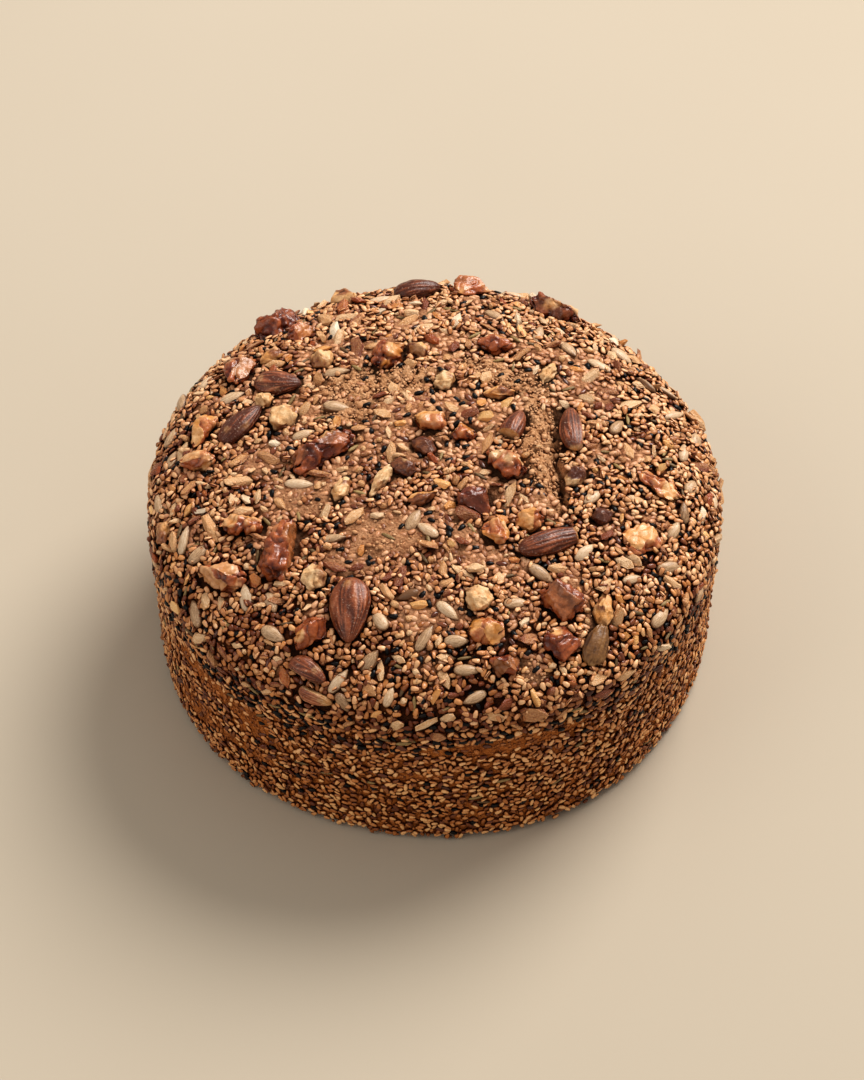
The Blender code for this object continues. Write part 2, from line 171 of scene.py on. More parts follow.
def makeThreeTints():    # a colour between pale, middle and dark, picked by a tone of 0 to 1
    takes = {"Tone": "Float", "Pale": "Color", "Middle": "Color", "Dark": "Color"}
    group, into, out = startGroup("threeTints", takes, {"Color": "Color"})
    paler = mixColour(group, spreadOut(group, into["Tone"], 0.0, 0.5), into["Pale"], into["Middle"])
    darker = mixColour(group, spreadOut(group, into["Tone"], 0.5, 1.0), paler, into["Dark"])
    feed(group, out["Color"], darker)
    return group


def makeStreaks():    # fine lines along X of a piece's own coordinates, and painted shade round its rim
    takes = {"Own": "Vector", "Tone": "Float"}
    group, into, out = startGroup("streaks", takes, {"Lines": "Float", "RimShade": "Float"})
    drawn = addNode(group, "VectorMath", {0: into["Own"], 1: (0.5, 3.5, 3.5)}, operation="MULTIPLY")
    away = reckon(group, "MULTIPLY", into["Tone"], 913.0)    # so that each seed has lines of its own
    moved = addNode(group, "VectorMath", {0: drawn.outputs[0], 1: away}, operation="ADD").outputs[0]
    lines = addNode(group, "TexNoise", {"Vector": moved, "Scale": 2.2, "Detail": 3.0, "Roughness": 0.6})
    height = reckon(group, "ABSOLUTE", addNode(group, "SeparateXYZ", {"Vector": into["Own"]}).outputs["Z"])
    feed(group, out["Lines"], spreadOut(group, lines.outputs["Fac"], 0.35, 0.65))
    feed(group, out["RimShade"], spreadOut(group, height, 0.1, 0.5, 1.0, 0.0))
    return group


gaps = {"near": 0.25, "far": 0.85, "colour": (0.15, 0.035, 0.0), "filled": -0.75, "samples": 4}


def makeGapShade():    # darker and redder where neighbours stand close, less so where glaze fills the gaps
    takes = {"Color": "Color", "Reach": "Float", "Share": "Float", "Filled": "Float"}
    group, into, out = startGroup("gapShade", takes, {"Color": "Color"})
    shade = addNode(group, "AmbientOcclusion", {"Distance": into["Reach"]}, samples=gaps["samples"]).outputs["AO"]
    deep = spreadOut(group, shade, gaps["near"], gaps["far"], into["Share"], 0.0, "SMOOTHSTEP")
    deep = reckon(group, "MULTIPLY", addUp(group, 1.0, (into["Filled"], gaps["filled"])), deep)
    redder = mixColour(group, 1.0, into["Color"], gaps["colour"], "MULTIPLY")
    feed(group, out["Color"], mixColour(group, deep, into["Color"], redder))
    return group


patchMask = makePatchMask()
grain = makeGrain()
gapShade = makeGapShade()
threeTints = makeThreeTints()
streaks = makeStreaks()


def useGroup(tree, group, **inputs):
    return addNode(tree, "Group", inputs, node_tree=group).outputs


def patches(tree, spot, scale, low, high):
    return useGroup(tree, patchMask, Vector=spot, Scale=scale, Low=low, High=high)["Mask"]


def bumps(tree, spot, scale, strength, distance):
    return useGroup(tree, grain, Vector=spot, Scale=scale, Strength=strength, Distance=distance)["Normal"]


def tinted(tree, tone, tints):
    return useGroup(tree, threeTints, Tone=tone, Pale=tints[0], Middle=tints[1], Dark=tints[2])["Color"]


def stored(tree, name, kind="Fac"):    # what is kept on the mesh
    return addNode(tree, "Attribute", attribute_name=name).outputs[kind]


def shadeGaps(tree, colour, reach, share, filled=0.0):
    return useGroup(tree, gapShade, Color=colour, Reach=reach, Share=share, Filled=filled)["Color"]


def setShader(material, **values):
    tree = material.node_tree
    for key, value in values.items():
        feed(tree, tree.nodes["Principled BSDF"].inputs[key.replace("_", " ")], value)
    return material


def startMaterial(name, **values):
    material = bpy.data.materials.new(name)
    material.use_nodes = True
    tree = setShader(material, **values).node_tree
    return material, tree, addNode(tree, "TexCoord").outputs["Object"]


# materials; tints are pale, middle and dark

crustLook = {
    "crumbTints": ((0.8, 0.47, 0.265), (0.61, 0.325, 0.16), (0.3, 0.115, 0.042)),
    "glazeTints": ((0.56, 0.29, 0.158), (0.41, 0.195, 0.098), (0.22, 0.08, 0.033)),
    "bedTints": ((0.22, 0.07, 0.022), (0.12, 0.033, 0.01), (0.038, 0.009, 0.003)),
    "sideTints": ((0.6, 0.215, 0.054), (0.38, 0.12, 0.026), (0.13, 0.036, 0.008)),
    # the dark colour of the painted shade round the nuts and of the dark syrup patches
    "shadeAndSyrup": (0.03, 0.011, 0.005), "change": (0.05, 0.08), "roughness": 0.75, "gloss": 0.12,
    "mottle": (130.0, 0.35, 0.65), "crumb": (1100.0, 0.35, 0.7), "bumps": (1000.0, 1.0, 0.0008),
    "reach": 0.0022, "shade": 0.85,
}


def makeCrustMaterial():    # stored on the crust: bare, where it is crumbly; glaze; and how far it is darkened, by painted shade in the dips round the nuts and by dark syrup with painted shade in patches
    look = crustLook
    material, tree, spot = startMaterial("crust", Roughness=look["roughness"],
                                         Specular_IOR_Level=look["gloss"])
    bare, glazed, shadeAndSyrup = [stored(tree, name) for name in ("bare", "glaze", "shadeAndSyrup")]
    mottle = patches(tree, spot, *look["mottle"])
    tone = addUp(tree, 0.0, (mottle, 0.4), (patches(tree, spot, *look["crumb"]), 0.6))
    tints = {name: tinted(tree, tone, look[name + "Tints"]) for name in ("crumb", "glaze", "bed", "side")}
    top = mixColour(tree, bare, mixColour(tree, glazed, tints["bed"], tints["glaze"]), tints["crumb"])
    height = addNode(tree, "SeparateXYZ", {"Vector": spot}).outputs["Z"]
    lit = mixColour(tree, spreadOut(tree, height, *look["change"], kind="SMOOTHSTEP"), tints["side"], top)
    filled = reckon(tree, "SUBTRACT", glazed, bare, use_clamp=True)
    # painted shade round the nuts and the dark syrup patches are mixed into the crust here
    colour = shadeGaps(tree, mixColour(tree, shadeAndSyrup, lit, look["shadeAndSyrup"]), look["reach"], look["shade"], filled)
    return setShader(material, Base_Color=colour, Normal=bumps(tree, spot, *look["bumps"]))


seedLooks = {    # tints, roughness, streaks along it, darkness of the painted shade round its rim, depth of its grain in mm
    "sesame": ((0.98, 0.61, 0.335), (0.68, 0.305, 0.122), (0.17, 0.039, 0.009), 0.27, 0.15, 0.85, 0.2),
    "glazed": ((0.85, 0.51, 0.295), (0.62, 0.295, 0.145), (0.22, 0.07, 0.024), 0.36, 0.1, 0.5, 0.2),
    "toasted": ((0.97, 0.58, 0.28), (0.64, 0.255, 0.076), (0.16, 0.035, 0.007), 0.28, 0.15, 0.55, 0.2),
    "baked": ((0.97, 0.57, 0.25), (0.6, 0.215, 0.052), (0.15, 0.034, 0.006), 0.28, 0.15, 0.55, 0.2),
    "blackSesame": ((0.016, 0.012, 0.012), (0.008, 0.006, 0.006), (0.004, 0.003, 0.003), 0.3, 0.1, 0.2, 0.2),
    "flax": ((0.26, 0.085, 0.038), (0.15, 0.042, 0.019), (0.06, 0.017, 0.009), 0.18, 0.1, 0.3, 0.1),
    "fennel": ((0.52, 0.39, 0.17), (0.35, 0.23, 0.085), (0.13, 0.07, 0.027), 0.45, 0.9, 0.2, 0.3),
    "kernel": ((0.86, 0.68, 0.49), (0.6, 0.39, 0.225), (0.2, 0.095, 0.042), 0.34, 0.9, 0.55, 0.2),
    "crumb": ((0.8, 0.49, 0.28), (0.66, 0.35, 0.17), (0.42, 0.17, 0.062), 0.8, 0.2, 0.0, 0.3),
    "bit": ((0.92, 0.66, 0.41), (0.7, 0.365, 0.155), (0.24, 0.062, 0.024), 0.26, 0.6, 0.2, 0.5),
    "amber": ((0.94, 0.6, 0.27), (0.74, 0.33, 0.1), (0.36, 0.085, 0.024), 0.2, 0.3, 0.2, 0.4),
    "whiteBit": ((0.96, 0.82, 0.62), (0.78, 0.54, 0.33), (0.4, 0.19, 0.07), 0.3, 0.4, 0.3, 0.4),
    "sideCrumb": ((0.62, 0.23, 0.06), (0.4, 0.13, 0.028), (0.15, 0.04, 0.009), 0.7, 0.2, 0.0, 0.3),
}
seedFinish = {"gloss": 0.45, "blackGloss": 0.22, "fleck": (1500.0, 0.3, 0.8), "grain": 1900.0,
              "reach": 0.0018, "shade": 0.9, "glazedShade": 0.45}


def makeSeedMaterial(name):    # tone and own are stored on every seed
    *tints, roughness, lineShare, rimShadeShare, depth = seedLooks[name]
    finish = seedFinish
    gloss = finish["blackGloss" if name == "blackSesame" else "gloss"]
    material, tree, spot = startMaterial(name, Roughness=roughness, Specular_IOR_Level=gloss)
    tone = stored(tree, "tone")
    marks = useGroup(tree, streaks, Own=stored(tree, "own", "Vector"), Tone=tone)
    # the rim of each seed is darkened: painted shade round its edge
    tone = addUp(tree, tone, (marks["RimShade"], rimShadeShare), (marks["Lines"], 0.45 * lineShare),
                 (patches(tree, spot, *finish["fleck"]), 0.18))
    share = finish["glazedShade" if name == "glazed" else "shade"]
    colour = shadeGaps(tree, tinted(tree, tone, tints), finish["reach"], share)
    return setShader(material, Base_Color=colour,
                     Normal=bumps(tree, spot, finish["grain"], 0.3 + depth, depth * mm))


nutLooks = {    # tints of the skin, then cream and orange flesh
    "almond": {"skin": ((0.54, 0.215, 0.105), (0.31, 0.086, 0.032), (0.095, 0.021, 0.008)),
               "flesh": ((0.72, 0.53, 0.32), (0.55, 0.25, 0.075)),
               "shine": 0.36, "grain": 900.0, "coat": 0.15, "dustAndGlint": 0.5},
    "walnut": {"skin": ((0.74, 0.36, 0.15), (0.44, 0.115, 0.034), (0.13, 0.02, 0.007)),
               "flesh": ((0.9, 0.63, 0.37), (0.76, 0.33, 0.08)),
               "shine": 0.18, "grain": 800.0, "coat": 0.35, "dustAndGlint": 0.15},
    "chunk": {"skin": ((0.58, 0.32, 0.13), (0.33, 0.115, 0.042), (0.1, 0.026, 0.013)),
              "flesh": ((0.92, 0.67, 0.4), (0.76, 0.36, 0.11)),
              "shine": 0.3, "grain": 900.0, "coat": 0.15, "dustAndGlint": 0.25},
    "pumpkin": {"skin": ((0.48, 0.27, 0.105), (0.24, 0.11, 0.036), (0.075, 0.028, 0.01)),
                "flesh": ((0.55, 0.45, 0.25), (0.4, 0.25, 0.1)),
                "shine": 0.4, "grain": 700.0, "coat": 0.1, "dustAndGlint": 0.1},
}
nutFinish = {"gloss": 0.4, "coatRoughness": 0.18, "drift": (220.0, 0.3, 0.7), "reach": 0.003, "shade": 0.75,
             "dustAndGlint": (1500.0, 0.58, 0.7), "dustAndGlintColour": (0.74, 0.54, 0.4), "fleckColour": (0.8, 0.72, 0.62)}


def makeNutMaterial(name):    # stored: tone, how dark the skin is; flesh, where it is broken; warm; pit, painted shade in the hollows and painted highlight on the ridges
    look = nutLooks[name]
    finish = nutFinish
    material, tree, spot = startMaterial(name, Specular_IOR_Level=finish["gloss"], Coat_Weight=look["coat"],
                                         Coat_Roughness=finish["coatRoughness"])
    tone, flesh, warm, pit = [stored(tree, key) for key in ("tone", "flesh", "warm", "pit")]
    fleck = patches(tree, spot, look["grain"], 0.3, 0.75)
    drift = patches(tree, spot, *finish["drift"])
    # pale flecks on the skin: partly skin dust, partly painted glints
    dustAndGlint = reckon(tree, "MULTIPLY", patches(tree, spot, *finish["dustAndGlint"]), look["dustAndGlint"])
    # pit paints shade into the folds and grooves and highlights onto their ridges, on the skin and the broken
    # flesh
    skinTone = addUp(tree, 0.0, (tone, 0.85), (pit, 0.55), (fleck, 0.22), (drift, 0.2))
    heat = addUp(tree, 0.0, (warm, 0.75), (drift, 0.35))
    meat = mixColour(tree, reckon(tree, "MULTIPLY_ADD", pit, 0.5, heat, use_clamp=True), *look["flesh"])
    meat = mixColour(tree, fleck, meat, finish["fleckColour"], "MULTIPLY")
    bare = mixColour(tree, flesh, tinted(tree, skinTone, look["skin"]), meat)
    withDustAndGlint = mixColour(tree, dustAndGlint, bare, finish["dustAndGlintColour"])
    return setShader(material, Base_Color=shadeGaps(tree, withDustAndGlint, finish["reach"], finish["shade"]),
                     Roughness=addUp(tree, look["shine"] - 0.05, (flesh, 0.22), (fleck, 0.15)),
                     Normal=bumps(tree, spot, look["grain"] * 1.2, 0.5, 0.0004))


# mesh helpers

def linkPiece(name, mesh, material, smooth=True):
    mesh.materials.append(material)
    mesh.polygons.foreach_set("use_smooth", [smooth] * len(mesh.polygons))
    piece = bpy.data.objects.new(name, mesh)
    bpy.context.scene.collection.objects.link(piece)
    return piece


def finishMesh(name, body, material):
    bmesh.ops.recalc_face_normals(body, faces=body.faces)
    mesh = bpy.data.meshes.new(name)
    body.to_mesh(mesh)
    body.free()
    return linkPiece(name, mesh, material)


def setDown(piece, slot, *nodes):
    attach(piece, "root")
    if nodes:
        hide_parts(*nodes)


def longBall(body, sides, bands):    # a ball with its poles on X
    bmesh.ops.create_uvsphere(body, u_segments=sides, v_segments=bands, radius=1)
    bmesh.ops.rotate(body, verts=body.verts, matrix=Matrix.Rotation(math.pi / 2, 3, "Y"))


def storeValues(mesh, name, values, kind="FLOAT", field="value"):
    layer = mesh.attributes.new(name, kind, "POINT")
    layer.data.foreach_set(field, np.asarray(values, dtype=np.float32).ravel())


# the bare cake, as it was turned and then pressed out of round

cakeShape = {
    "shoulderRadius": 0.1043, "baseRadius": 0.1026, "shoulderHeight": 0.0655, "footRadius": 0.06,
    "domeRise": 0.0275, "domePower": 2.5, "baseRound": 0.004,
    "flatSide": math.radians(187), "twoLobes": 0.006, "fiveLobes": 0.005,
    "swellHeight": 0.0016, "swellSize": 0.045, "cragHeight": 0.0012, "cragSize": 0.011,
    "sideDent": 0.0007, "sideDentSize": 0.02,
    "spokes": 400, "roundBands": 4, "sideBands": 30, "domeBands": 205,
}
crack = {"x": 0.0452, "y": 0.0, "heading": math.radians(93), "halfLength": 0.028, "slopeWidth": 0.0085,
         "wallWidth": 0.0013, "depth": 0.0075, "rearShallower": 0.35, "bend": 0.0009, "bendTurns": 4.0,
         "waves": 0.0034, "waveSize": 0.008, "teeth": 0.0016, "toothSize": 0.0035}
ridge = {"x": 0.0365, "y": 0.002, "halfWidth": 0.0065, "halfLength": 0.024, "height": 0.0028}

# bare places on the top: x, y, half width, half length, heading in degrees, all in mm; then how crumbly
barePlaces = [
    (-22, 37, 25, 8, 4, 1.0), (26, 40, 22, 6, -32, 1.0), (38, 6, 6, 26, 4, 1.0),
    (-46, -20, 9, 7, 10, 0.15), (-18, -38, 14, 9, -10, 0.2), (34, -88, 6, 5, 0, 0.2),
    (-30, 24, 12, 8, 0, 0.8),
]
bareEdge = {"reach": 1.6, "rough": 0.5, "size": 0.006}

# deep hollows: x, y, size and depth in mm
pits = [(64, -20, 5.5, 4.5), (54, -15, 4, 3), (-36, -60, 3, 1.5), (30, -72, 4, 2), (10, -31, 3, 1.5)]
pitEdge = {"rough": 0.5, "size": 0.003}
glazeRule = {"x": -0.004, "y": 0.004, "reach": 0.094, "full": 0.95, "size": 0.012, "rough": 1.5,
             "rise": 0.00052, "sink": 0.0003}
darkRule = {"start": 0.035, "width": 0.06, "most": 0.45, "rough": 2.6, "size": 0.011, "low": 0.1,
            "underGlaze": 0.7}
sideStreaks = {"around": 2.6, "up": 7.5, "least": 0.37, "top": 0.78, "heading": -1.33, "width": 0.3,
               "climb": 0.82, "height": 0.07}
crumbRelief = {"fine": 0.0016, "coarse": 0.0034, "top": 0.00022, "bare": 0.0013, "side": 0.00035,
               "streakRise": 0.00015, "sideSink": 0.00025, "holeSize": 0.0024, "holeDepth": 0.0036,
               "darkSink": 0.0006, "plainFoot": 0.0015, "nutDip": 0.0014, "dipWidth": 0.0012}


def outline(heading):
    turn = heading - cakeShape["flatSide"]
    return 1 - cakeShape["twoLobes"] * math.cos(2 * turn) - cakeShape["fiveLobes"] * math.cos(5 * turn)


def topRelief(x, y):
    swell = cakeShape["swellHeight"] * ripple((x, y, 0.3), cakeShape["swellSize"])
    crag = cakeShape["cragHeight"] * ripple((x, y, 0.7), cakeShape["cragSize"])
    across = (x - ridge["x"]) / ridge["halfWidth"]
    along = (y - ridge["y"]) / ridge["halfLength"]
    return swell + crag + ridge["height"] * math.exp(-across ** 2 - along ** 2)


def uneven(point):    # where a point of the plain turned cake lies on the real one
    shape = cakeShape
    share = outline(math.atan2(point.y, point.x))
    upSide = limited(point.z / shape["shoulderHeight"])
    upDome = limited((point.z - shape["shoulderHeight"]) / shape["domeRise"])
    dent = shape["sideDent"] * math.sin(math.pi * upSide) * ripple(point, shape["sideDentSize"])
    share += dent / max(math.hypot(point.x, point.y), shape["sideDentSize"])
    x = point.x * share
    y = point.y * share
    return Vector((x, y, point.z + topRelief(x, y) * min(2 * upDome, 1.0)))


def skin(climb):    # plain radius and height; climb is 0 to 1 up the side, 1 to 2 over the dome
    shape = cakeShape
    if climb <= 1:
        lean = shape["shoulderRadius"] - shape["baseRadius"]
        return shape["baseRadius"] + lean * climb, shape["shoulderHeight"] * climb
    lift = (climb - 1) * math.pi / 2
    radius = shape["shoulderRadius"] * max(math.cos(lift), 0.0) ** (2 / shape["domePower"])
    return radius, shape["shoulderHeight"] + shape["domeRise"] * math.sin(lift)


def crustPoint(heading, climb):
    radius, height = skin(climb)
    return uneven(Vector((radius * math.cos(heading), radius * math.sin(heading), height)))


def placeOnCrust(heading, climb, turn):    # X along the piece, Z out of the crust
    step = 0.02
    middle = crustPoint(heading, climb)
    around = crustPoint(heading + step, climb) - crustPoint(heading - step, climb)
    upward = crustPoint(heading, min(climb + step, 2.0)) - crustPoint(heading, climb - step)
    out = around.cross(upward).normalized()
    along = Vector((math.cos(turn), math.sin(turn), 0))
    if climb < 1:
        along = around.normalized() * math.cos(turn) + Vector((0, 0, math.sin(turn)))
    along = (along - out * along.dot(out)).normalized()
    place = Matrix((along, out.cross(along), out)).transposed().to_4x4()
    place.translation = middle
    return place


def placeOnTop(x, y, heading):    # in mm and degrees
    x *= mm
    y *= mm
    around = math.atan2(y, x)
    share = min(math.hypot(x, y) / (cakeShape["shoulderRadius"] * outline(around)), 0.998)
    lift = math.acos(share ** (cakeShape["domePower"] / 2))
    return placeOnCrust(around, 1 + lift / (math.pi / 2), math.radians(heading))


def bareness(x, y):    # how bare of seeds a place on the top is, and how crumbly
    bare = 0.0
    crumbly = 0.0
    for px, py, half, length, heading, rough in barePlaces:
        turn = math.radians(heading)
        dx = x - px * mm
        dy = y - py * mm
        u = (dx * math.cos(turn) + dy * math.sin(turn)) / (half * mm)
        v = (dy * math.cos(turn) - dx * math.sin(turn)) / (length * mm)
        edge = bareEdge["rough"] * ripple((x, y, 0.1), bareEdge["size"])
        share = limited(bareEdge["reach"] - (u * u + v * v) + edge)
        bare = max(bare, share)
        crumbly = max(crumbly, share * rough)
    return bare, crumbly


def glazeShare(x, y):    # how far the glaze fills the gaps between the seeds
    far = math.hypot(x - glazeRule["x"], y - glazeRule["y"]) / glazeRule["reach"]
    patch = ripple((x, y, 0.4), glazeRule["size"])
    return max(limited(glazeRule["full"] - far ** 3 + glazeRule["rough"] * patch), bareness(x, y)[0])


def darkShare(x, y):    # dark syrup with painted shade, and fewer seeds, mostly towards the front and right shoulder
    rule = darkRule
    out = rule["most"] * max(0.5 * x - y - rule["start"], 0.0) / rule["width"]
    patch = rule["rough"] * (ripple((x, y, 0.8), rule["size"]) - rule["low"])
    return limited(patch + out) * (1 - rule["underGlaze"] * glazeShare(x, y))


def pitDepth(x, y):
    deep = 0.0
    for px, py, size, depth in pits:
        share = math.hypot(x - px * mm, y - py * mm) / (size * mm)
        share += pitEdge["rough"] * ripple((x, y, 0.9), pitEdge["size"])
        deep = max(deep, depth * mm * (1 - min(share, 1.0) ** 2))
    return deep


def crackDepth(x, y):    # long slope on the left, steep wall on the right
    dx = x - crack["x"]
    dy = y - crack["y"]
    along = dx * math.cos(crack["heading"]) + dy * math.sin(crack["heading"])
    across = dy * math.cos(crack["heading"]) - dx * math.sin(crack["heading"])
    share = along / crack["halfLength"]
    if abs(share) >= 1:
        return 0.0
    across -= crack["bend"] * math.sin(crack["bendTurns"] * share)
    across += (crack["waves"] * ripple((along, 0, 2), crack["waveSize"])
               + crack["teeth"] * ripple((x, y, 2), crack["toothSize"]))
    width = crack["slopeWidth"] if across > 0 else crack["wallWidth"]
    deep = crack["depth"] * (0.8 - crack["rearShallower"] * share)
    return deep * max(math.sqrt(1 - share * share) - abs(across) / width, 0.0)


def sideBare(heading, climb):    # level streaks of the side that hold few seeds
    rule = sideStreaks
    spot = (math.cos(heading) * rule["around"], math.sin(heading) * rule["around"], climb * rule["up"])
    off = ((heading - rule["heading"]) / rule["width"]) ** 2
    off += ((climb - rule["climb"]) / rule["height"]) ** 2
    return (ripple(spot, 1) > rule["least"] and climb < rule["top"]) or off < 1


def hollowDepth(spots):    # the crust dips close round each nut
    deep = np.zeros(len(spots))
    for row in allNuts:
        turned = np.array(placeOnTop(*row[:3]).inverted())
        local = spots @ turned[:3, :3].T + turned[:3, 3]
        share = np.hypot(local[:, 0] / (row[3] * mm / 2), local[:, 1] / (row[4] * mm / 2))
        reach = (share - 1) * row[4] * mm / 2
        close = np.abs(local[:, 2]) < 0.012
        dip = np.where(reach < 0, 1.0, np.exp(-(reach / crumbRelief["dipWidth"]) ** 2))
        deep = np.maximum(deep, dip * close)
    return deep


def turnCake():    # half of its outline, turned once round
    shape = cakeShape
    profile = [(0.0, 0.0), (shape["footRadius"], 0.0)]
    for step in range(shape["roundBands"] + 1):
        turn = step / shape["roundBands"] * math.pi / 2
        profile.append((shape["baseRadius"] - shape["baseRound"] * (1 - math.sin(turn)),
                        shape["baseRound"] * (1 - math.cos(turn))))
    low = shape["baseRound"] / shape["shoulderHeight"]
    climbs = [low + (1 - low) * step / shape["sideBands"] for step in range(1, shape["sideBands"] + 1)]
    climbs += [1 + step / shape["domeBands"] for step in range(1, shape["domeBands"])]
    profile += [skin(climb) for climb in climbs] + [(0.0, skin(2)[1])]
    body = bmesh.new()
    points = [body.verts.new((radius, 0, height)) for radius, height in profile]
    edges = [body.edges.new(pair) for pair in zip(points, points[1:])]
    bmesh.ops.spin(body, geom=points + edges, cent=(0, 0, 0), axis=(0, 0, 1),
                   angle=2 * math.pi, steps=shape["spokes"], use_merge=True)
    bmesh.ops.remove_doubles(body, verts=body.verts, dist=1e-6)
    return body


def roughen(spot):    # the real place of a point of the turned cake; how bare, glazed and dark it is there
    relief = crumbRelief
    place = uneven(spot)
    bare = glaze = dark = 0.0
    if spot.z <= relief["plainFoot"]:
        return place, bare, glaze, dark
    crumb = ripple(place, relief["fine"]) * 0.5 + ripple(place, relief["coarse"]) * 0.8
    out = Vector((place.x, place.y, 0)).normalized()
    if spot.z > cakeShape["shoulderHeight"]:
        trench = crackDepth(place.x, place.y)
        bare = max(bareness(place.x, place.y)[1], min(trench / 0.002, 1.0))
        glaze = glazeShare(place.x, place.y)
        dark = darkShare(place.x, place.y) * (1 - bare)
        drop = max(trench, pitDepth(place.x, place.y), relief["darkSink"] * dark)
        lift = (spot.z - cakeShape["shoulderHeight"]) / cakeShape["domeRise"]
        out = (out * (1 - lift) + Vector((0, 0, lift))).normalized()
        full = max(glaze, bare)
        fill = glazeRule["rise"] * full - glazeRule["sink"] * (1 - full)
        hole = max(ripple(place, relief["holeSize"], (0, 0, 5)) - 0.1, 0.0) * bare
        place += out * (crumb * (relief["top"] + relief["bare"] * bare) + fill - relief["holeDepth"] * hole)
        place.z -= drop
    else:
        streak = sideBare(math.atan2(spot.y, spot.x), spot.z / cakeShape["shoulderHeight"])
        place += out * (crumb * relief["side"] + (relief["streakRise"] if streak else -relief["sideSink"]))
    return place, bare, glaze, dark


def makeCrust(material):
    body = turnCake()
    tops = np.array([vertex.co.z > cakeShape["shoulderHeight"] for vertex in body.verts])
    values = []
    for vertex in body.verts:
        vertex.co, *found = roughen(vertex.co.copy())
        values.append(found)
    bare, glaze, dark = np.array(values).T
    deep = hollowDepth(np.array([vertex.co[:] for vertex in body.verts])) * tops
    for vertex, dip in zip(body.verts, deep):
        vertex.co.z -= crumbRelief["nutDip"] * dip
    crust = finishMesh("crust", body, material)
    storeValues(crust.data, "bare", bare)
    storeValues(crust.data, "glaze", glaze)
    # painted shade in the dips round the nuts, and dark syrup with painted shade in the dark patches
    storeValues(crust.data, "shadeAndSyrup", np.maximum(0.75 * deep, 0.8 * dark))
    setDown(crust, "crust", "cake")


# nuts: x, y, heading in degrees, length, width, thickness in mm, skin tone, share of broken flesh, how orange it
# is; almonds end with the side they are broken off on, in degrees from the heading

almonds = [
    (-29, -68, 266, 25, 14, 9, 0.35, 0.0, 0.5, None), (-6, 93, 12, 18, 10, 8, 0.65, 0.0, 0.5, None),
    (-70, 19, 45, 21, 10, 7, 0.65, 0.0, 0.5, None), (49, 14, 92, 23, 8, 7, 0.45, 0.0, 0.3, -90),
    (30, 15, 67, 13, 9, 7, 0.25, 0.0, 0.4, 180), (40, -40, 23, 22, 10, 8, 0.55, 0.0, 0.9, 0),
    (-57, 38, -11, 18, 11, 7, 0.5, 0.0, 0.5, None), (-43, -86, -37, 15, 7, 6, 0.3, 0.1, 0.2, -90),
    (-41, -94, -33, 13, 5, 5, 0.1, 0.7, 0.2, 90),
]
walnuts = [
    (-58, 77, 30, 20, 12, 11, 0.8, 0.03, 0.5), (-49, 69, 40, 12, 7, 7, 0.45, 0.2, 0.8),
    (-71, 49, 86, 18, 12, 9, 0.6, 0.2, 0.5), (-17, 50, 60, 17, 11, 10, 0.5, 0.35, 0.9),
    (-40, 3, 37, 28, 11, 10, 0.7, 0.1, 0.5), (-85, 5, -6, 14, 9, 7, 0.3, 0.4, 0.4),
    (-84, 19, 62, 16, 9, 7, 0.2, 0.5, 0.7), (45, 84, -30, 19, 10, 10, 0.75, 0.08, 0.4),
    (23, 58, -12, 14, 11, 9, 0.45, 0.3, 1.0), (11, 11, 0, 10, 8, 7, 0.6, 0.3, 0.9),
    (-1, 15, 0, 12, 10, 8, 0.2, 0.7, 0.7), (26, -5, -36, 18, 11, 10, 0.55, 0.6, 0.15),
    (-68, -28, -11, 17, 9, 8, 0.35, 0.4, 0.6), (-54, -41, 73, 27, 13, 12, 0.58, 0.16, 0.6),
    (-75, -48, -10, 20, 11, 10, 0.45, 0.32, 0.4), (-43, -75, 40, 15, 10, 11, 0.55, 0.05, 0.6),
    (15, -22, -18, 14, 12, 9, 0.85, 0.06, 0.4), (22, -36, 0, 11, 11, 8, 0.15, 0.8, 0.9),
    (34, -30, 0, 11, 10, 8, 0.15, 0.75, 0.8), (81, -8, -32, 19, 9, 5, 0.2, 0.7, 0.6),
    (74, -33, 33, 15, 12, 5, 0.2, 0.7, 0.7), (45, -63, -33, 16, 13, 10, 0.6, 0.12, 0.5),
    (18, -76, 0, 13, 11, 8, 0.15, 0.7, 0.8), (44, -78, -46, 12, 12, 10, 0.75, 0.04, 0.5),
    (25, -88, 4, 11, 8, 8, 0.8, 0.15, 0.3), (14, 95, 20, 15, 10, 9, 0.35, 0.12, 0.5),
]
chunks = [
    (-41, 51, 39, 10, 10, 7, 0.15, 0.9, 0.4), (-60, 56, 19, 10, 7, 6, 0.5, 0.4, 1.0),
    (-62, 30, -11, 7, 7, 6, 0.1, 0.9, 0.3), (-55, 20, 68, 12, 10, 7, 0.1, 0.95, 0.2),
    (-3, 4, -38, 10, 8, 6, 0.85, 0.05, 0.5), (-11, -7, -38, 10, 7, 6, 0.8, 0.05, 0.2),
    (-33, -16, 66, 11, 6, 6, 0.25, 0.8, 0.3), (-19, -13, 57, 15, 5, 5, 0.1, 1.0, 0.1),
    (-4, -21, 13, 12, 6, 5, 0.45, 0.5, 1.0), (-42, -54, 82, 11, 9, 7, 0.1, 1.0, 0.1),
    (4, 36, 28, 9, 8, 7, 0.1, 1.0, 0.1), (24, 31, 3, 12, 5, 5, 0.4, 0.5, 0.8),
    (42, 43, 69, 13, 6, 6, 0.1, 1.0, 0.2), (51, -9, 49, 11, 7, 7, 0.7, 0.7, 0.2),
    (60, -26, 8, 8, 7, 6, 0.95, 0.05, 0.5), (16, -64, 2, 10, 10, 8, 0.1, 0.95, 0.25),
    (60, -63, 80, 13, 8, 6, 0.3, 0.8, 0.6), (-97, -21, 92, 11, 7, 5, 0.3, 0.6, 0.7),
    (-6, 53, 0, 8, 8, 7, 0.7, 0.2, 0.6), (-34, 92, -30, 11, 9, 8, 0.3, 0.7, 0.6),
]
pumpkinSeed = (57, -76, 79, 16, 9, 5, 0.45, 0.0, 0.3)
allNuts = almonds + walnuts + chunks + [pumpkinSeed]
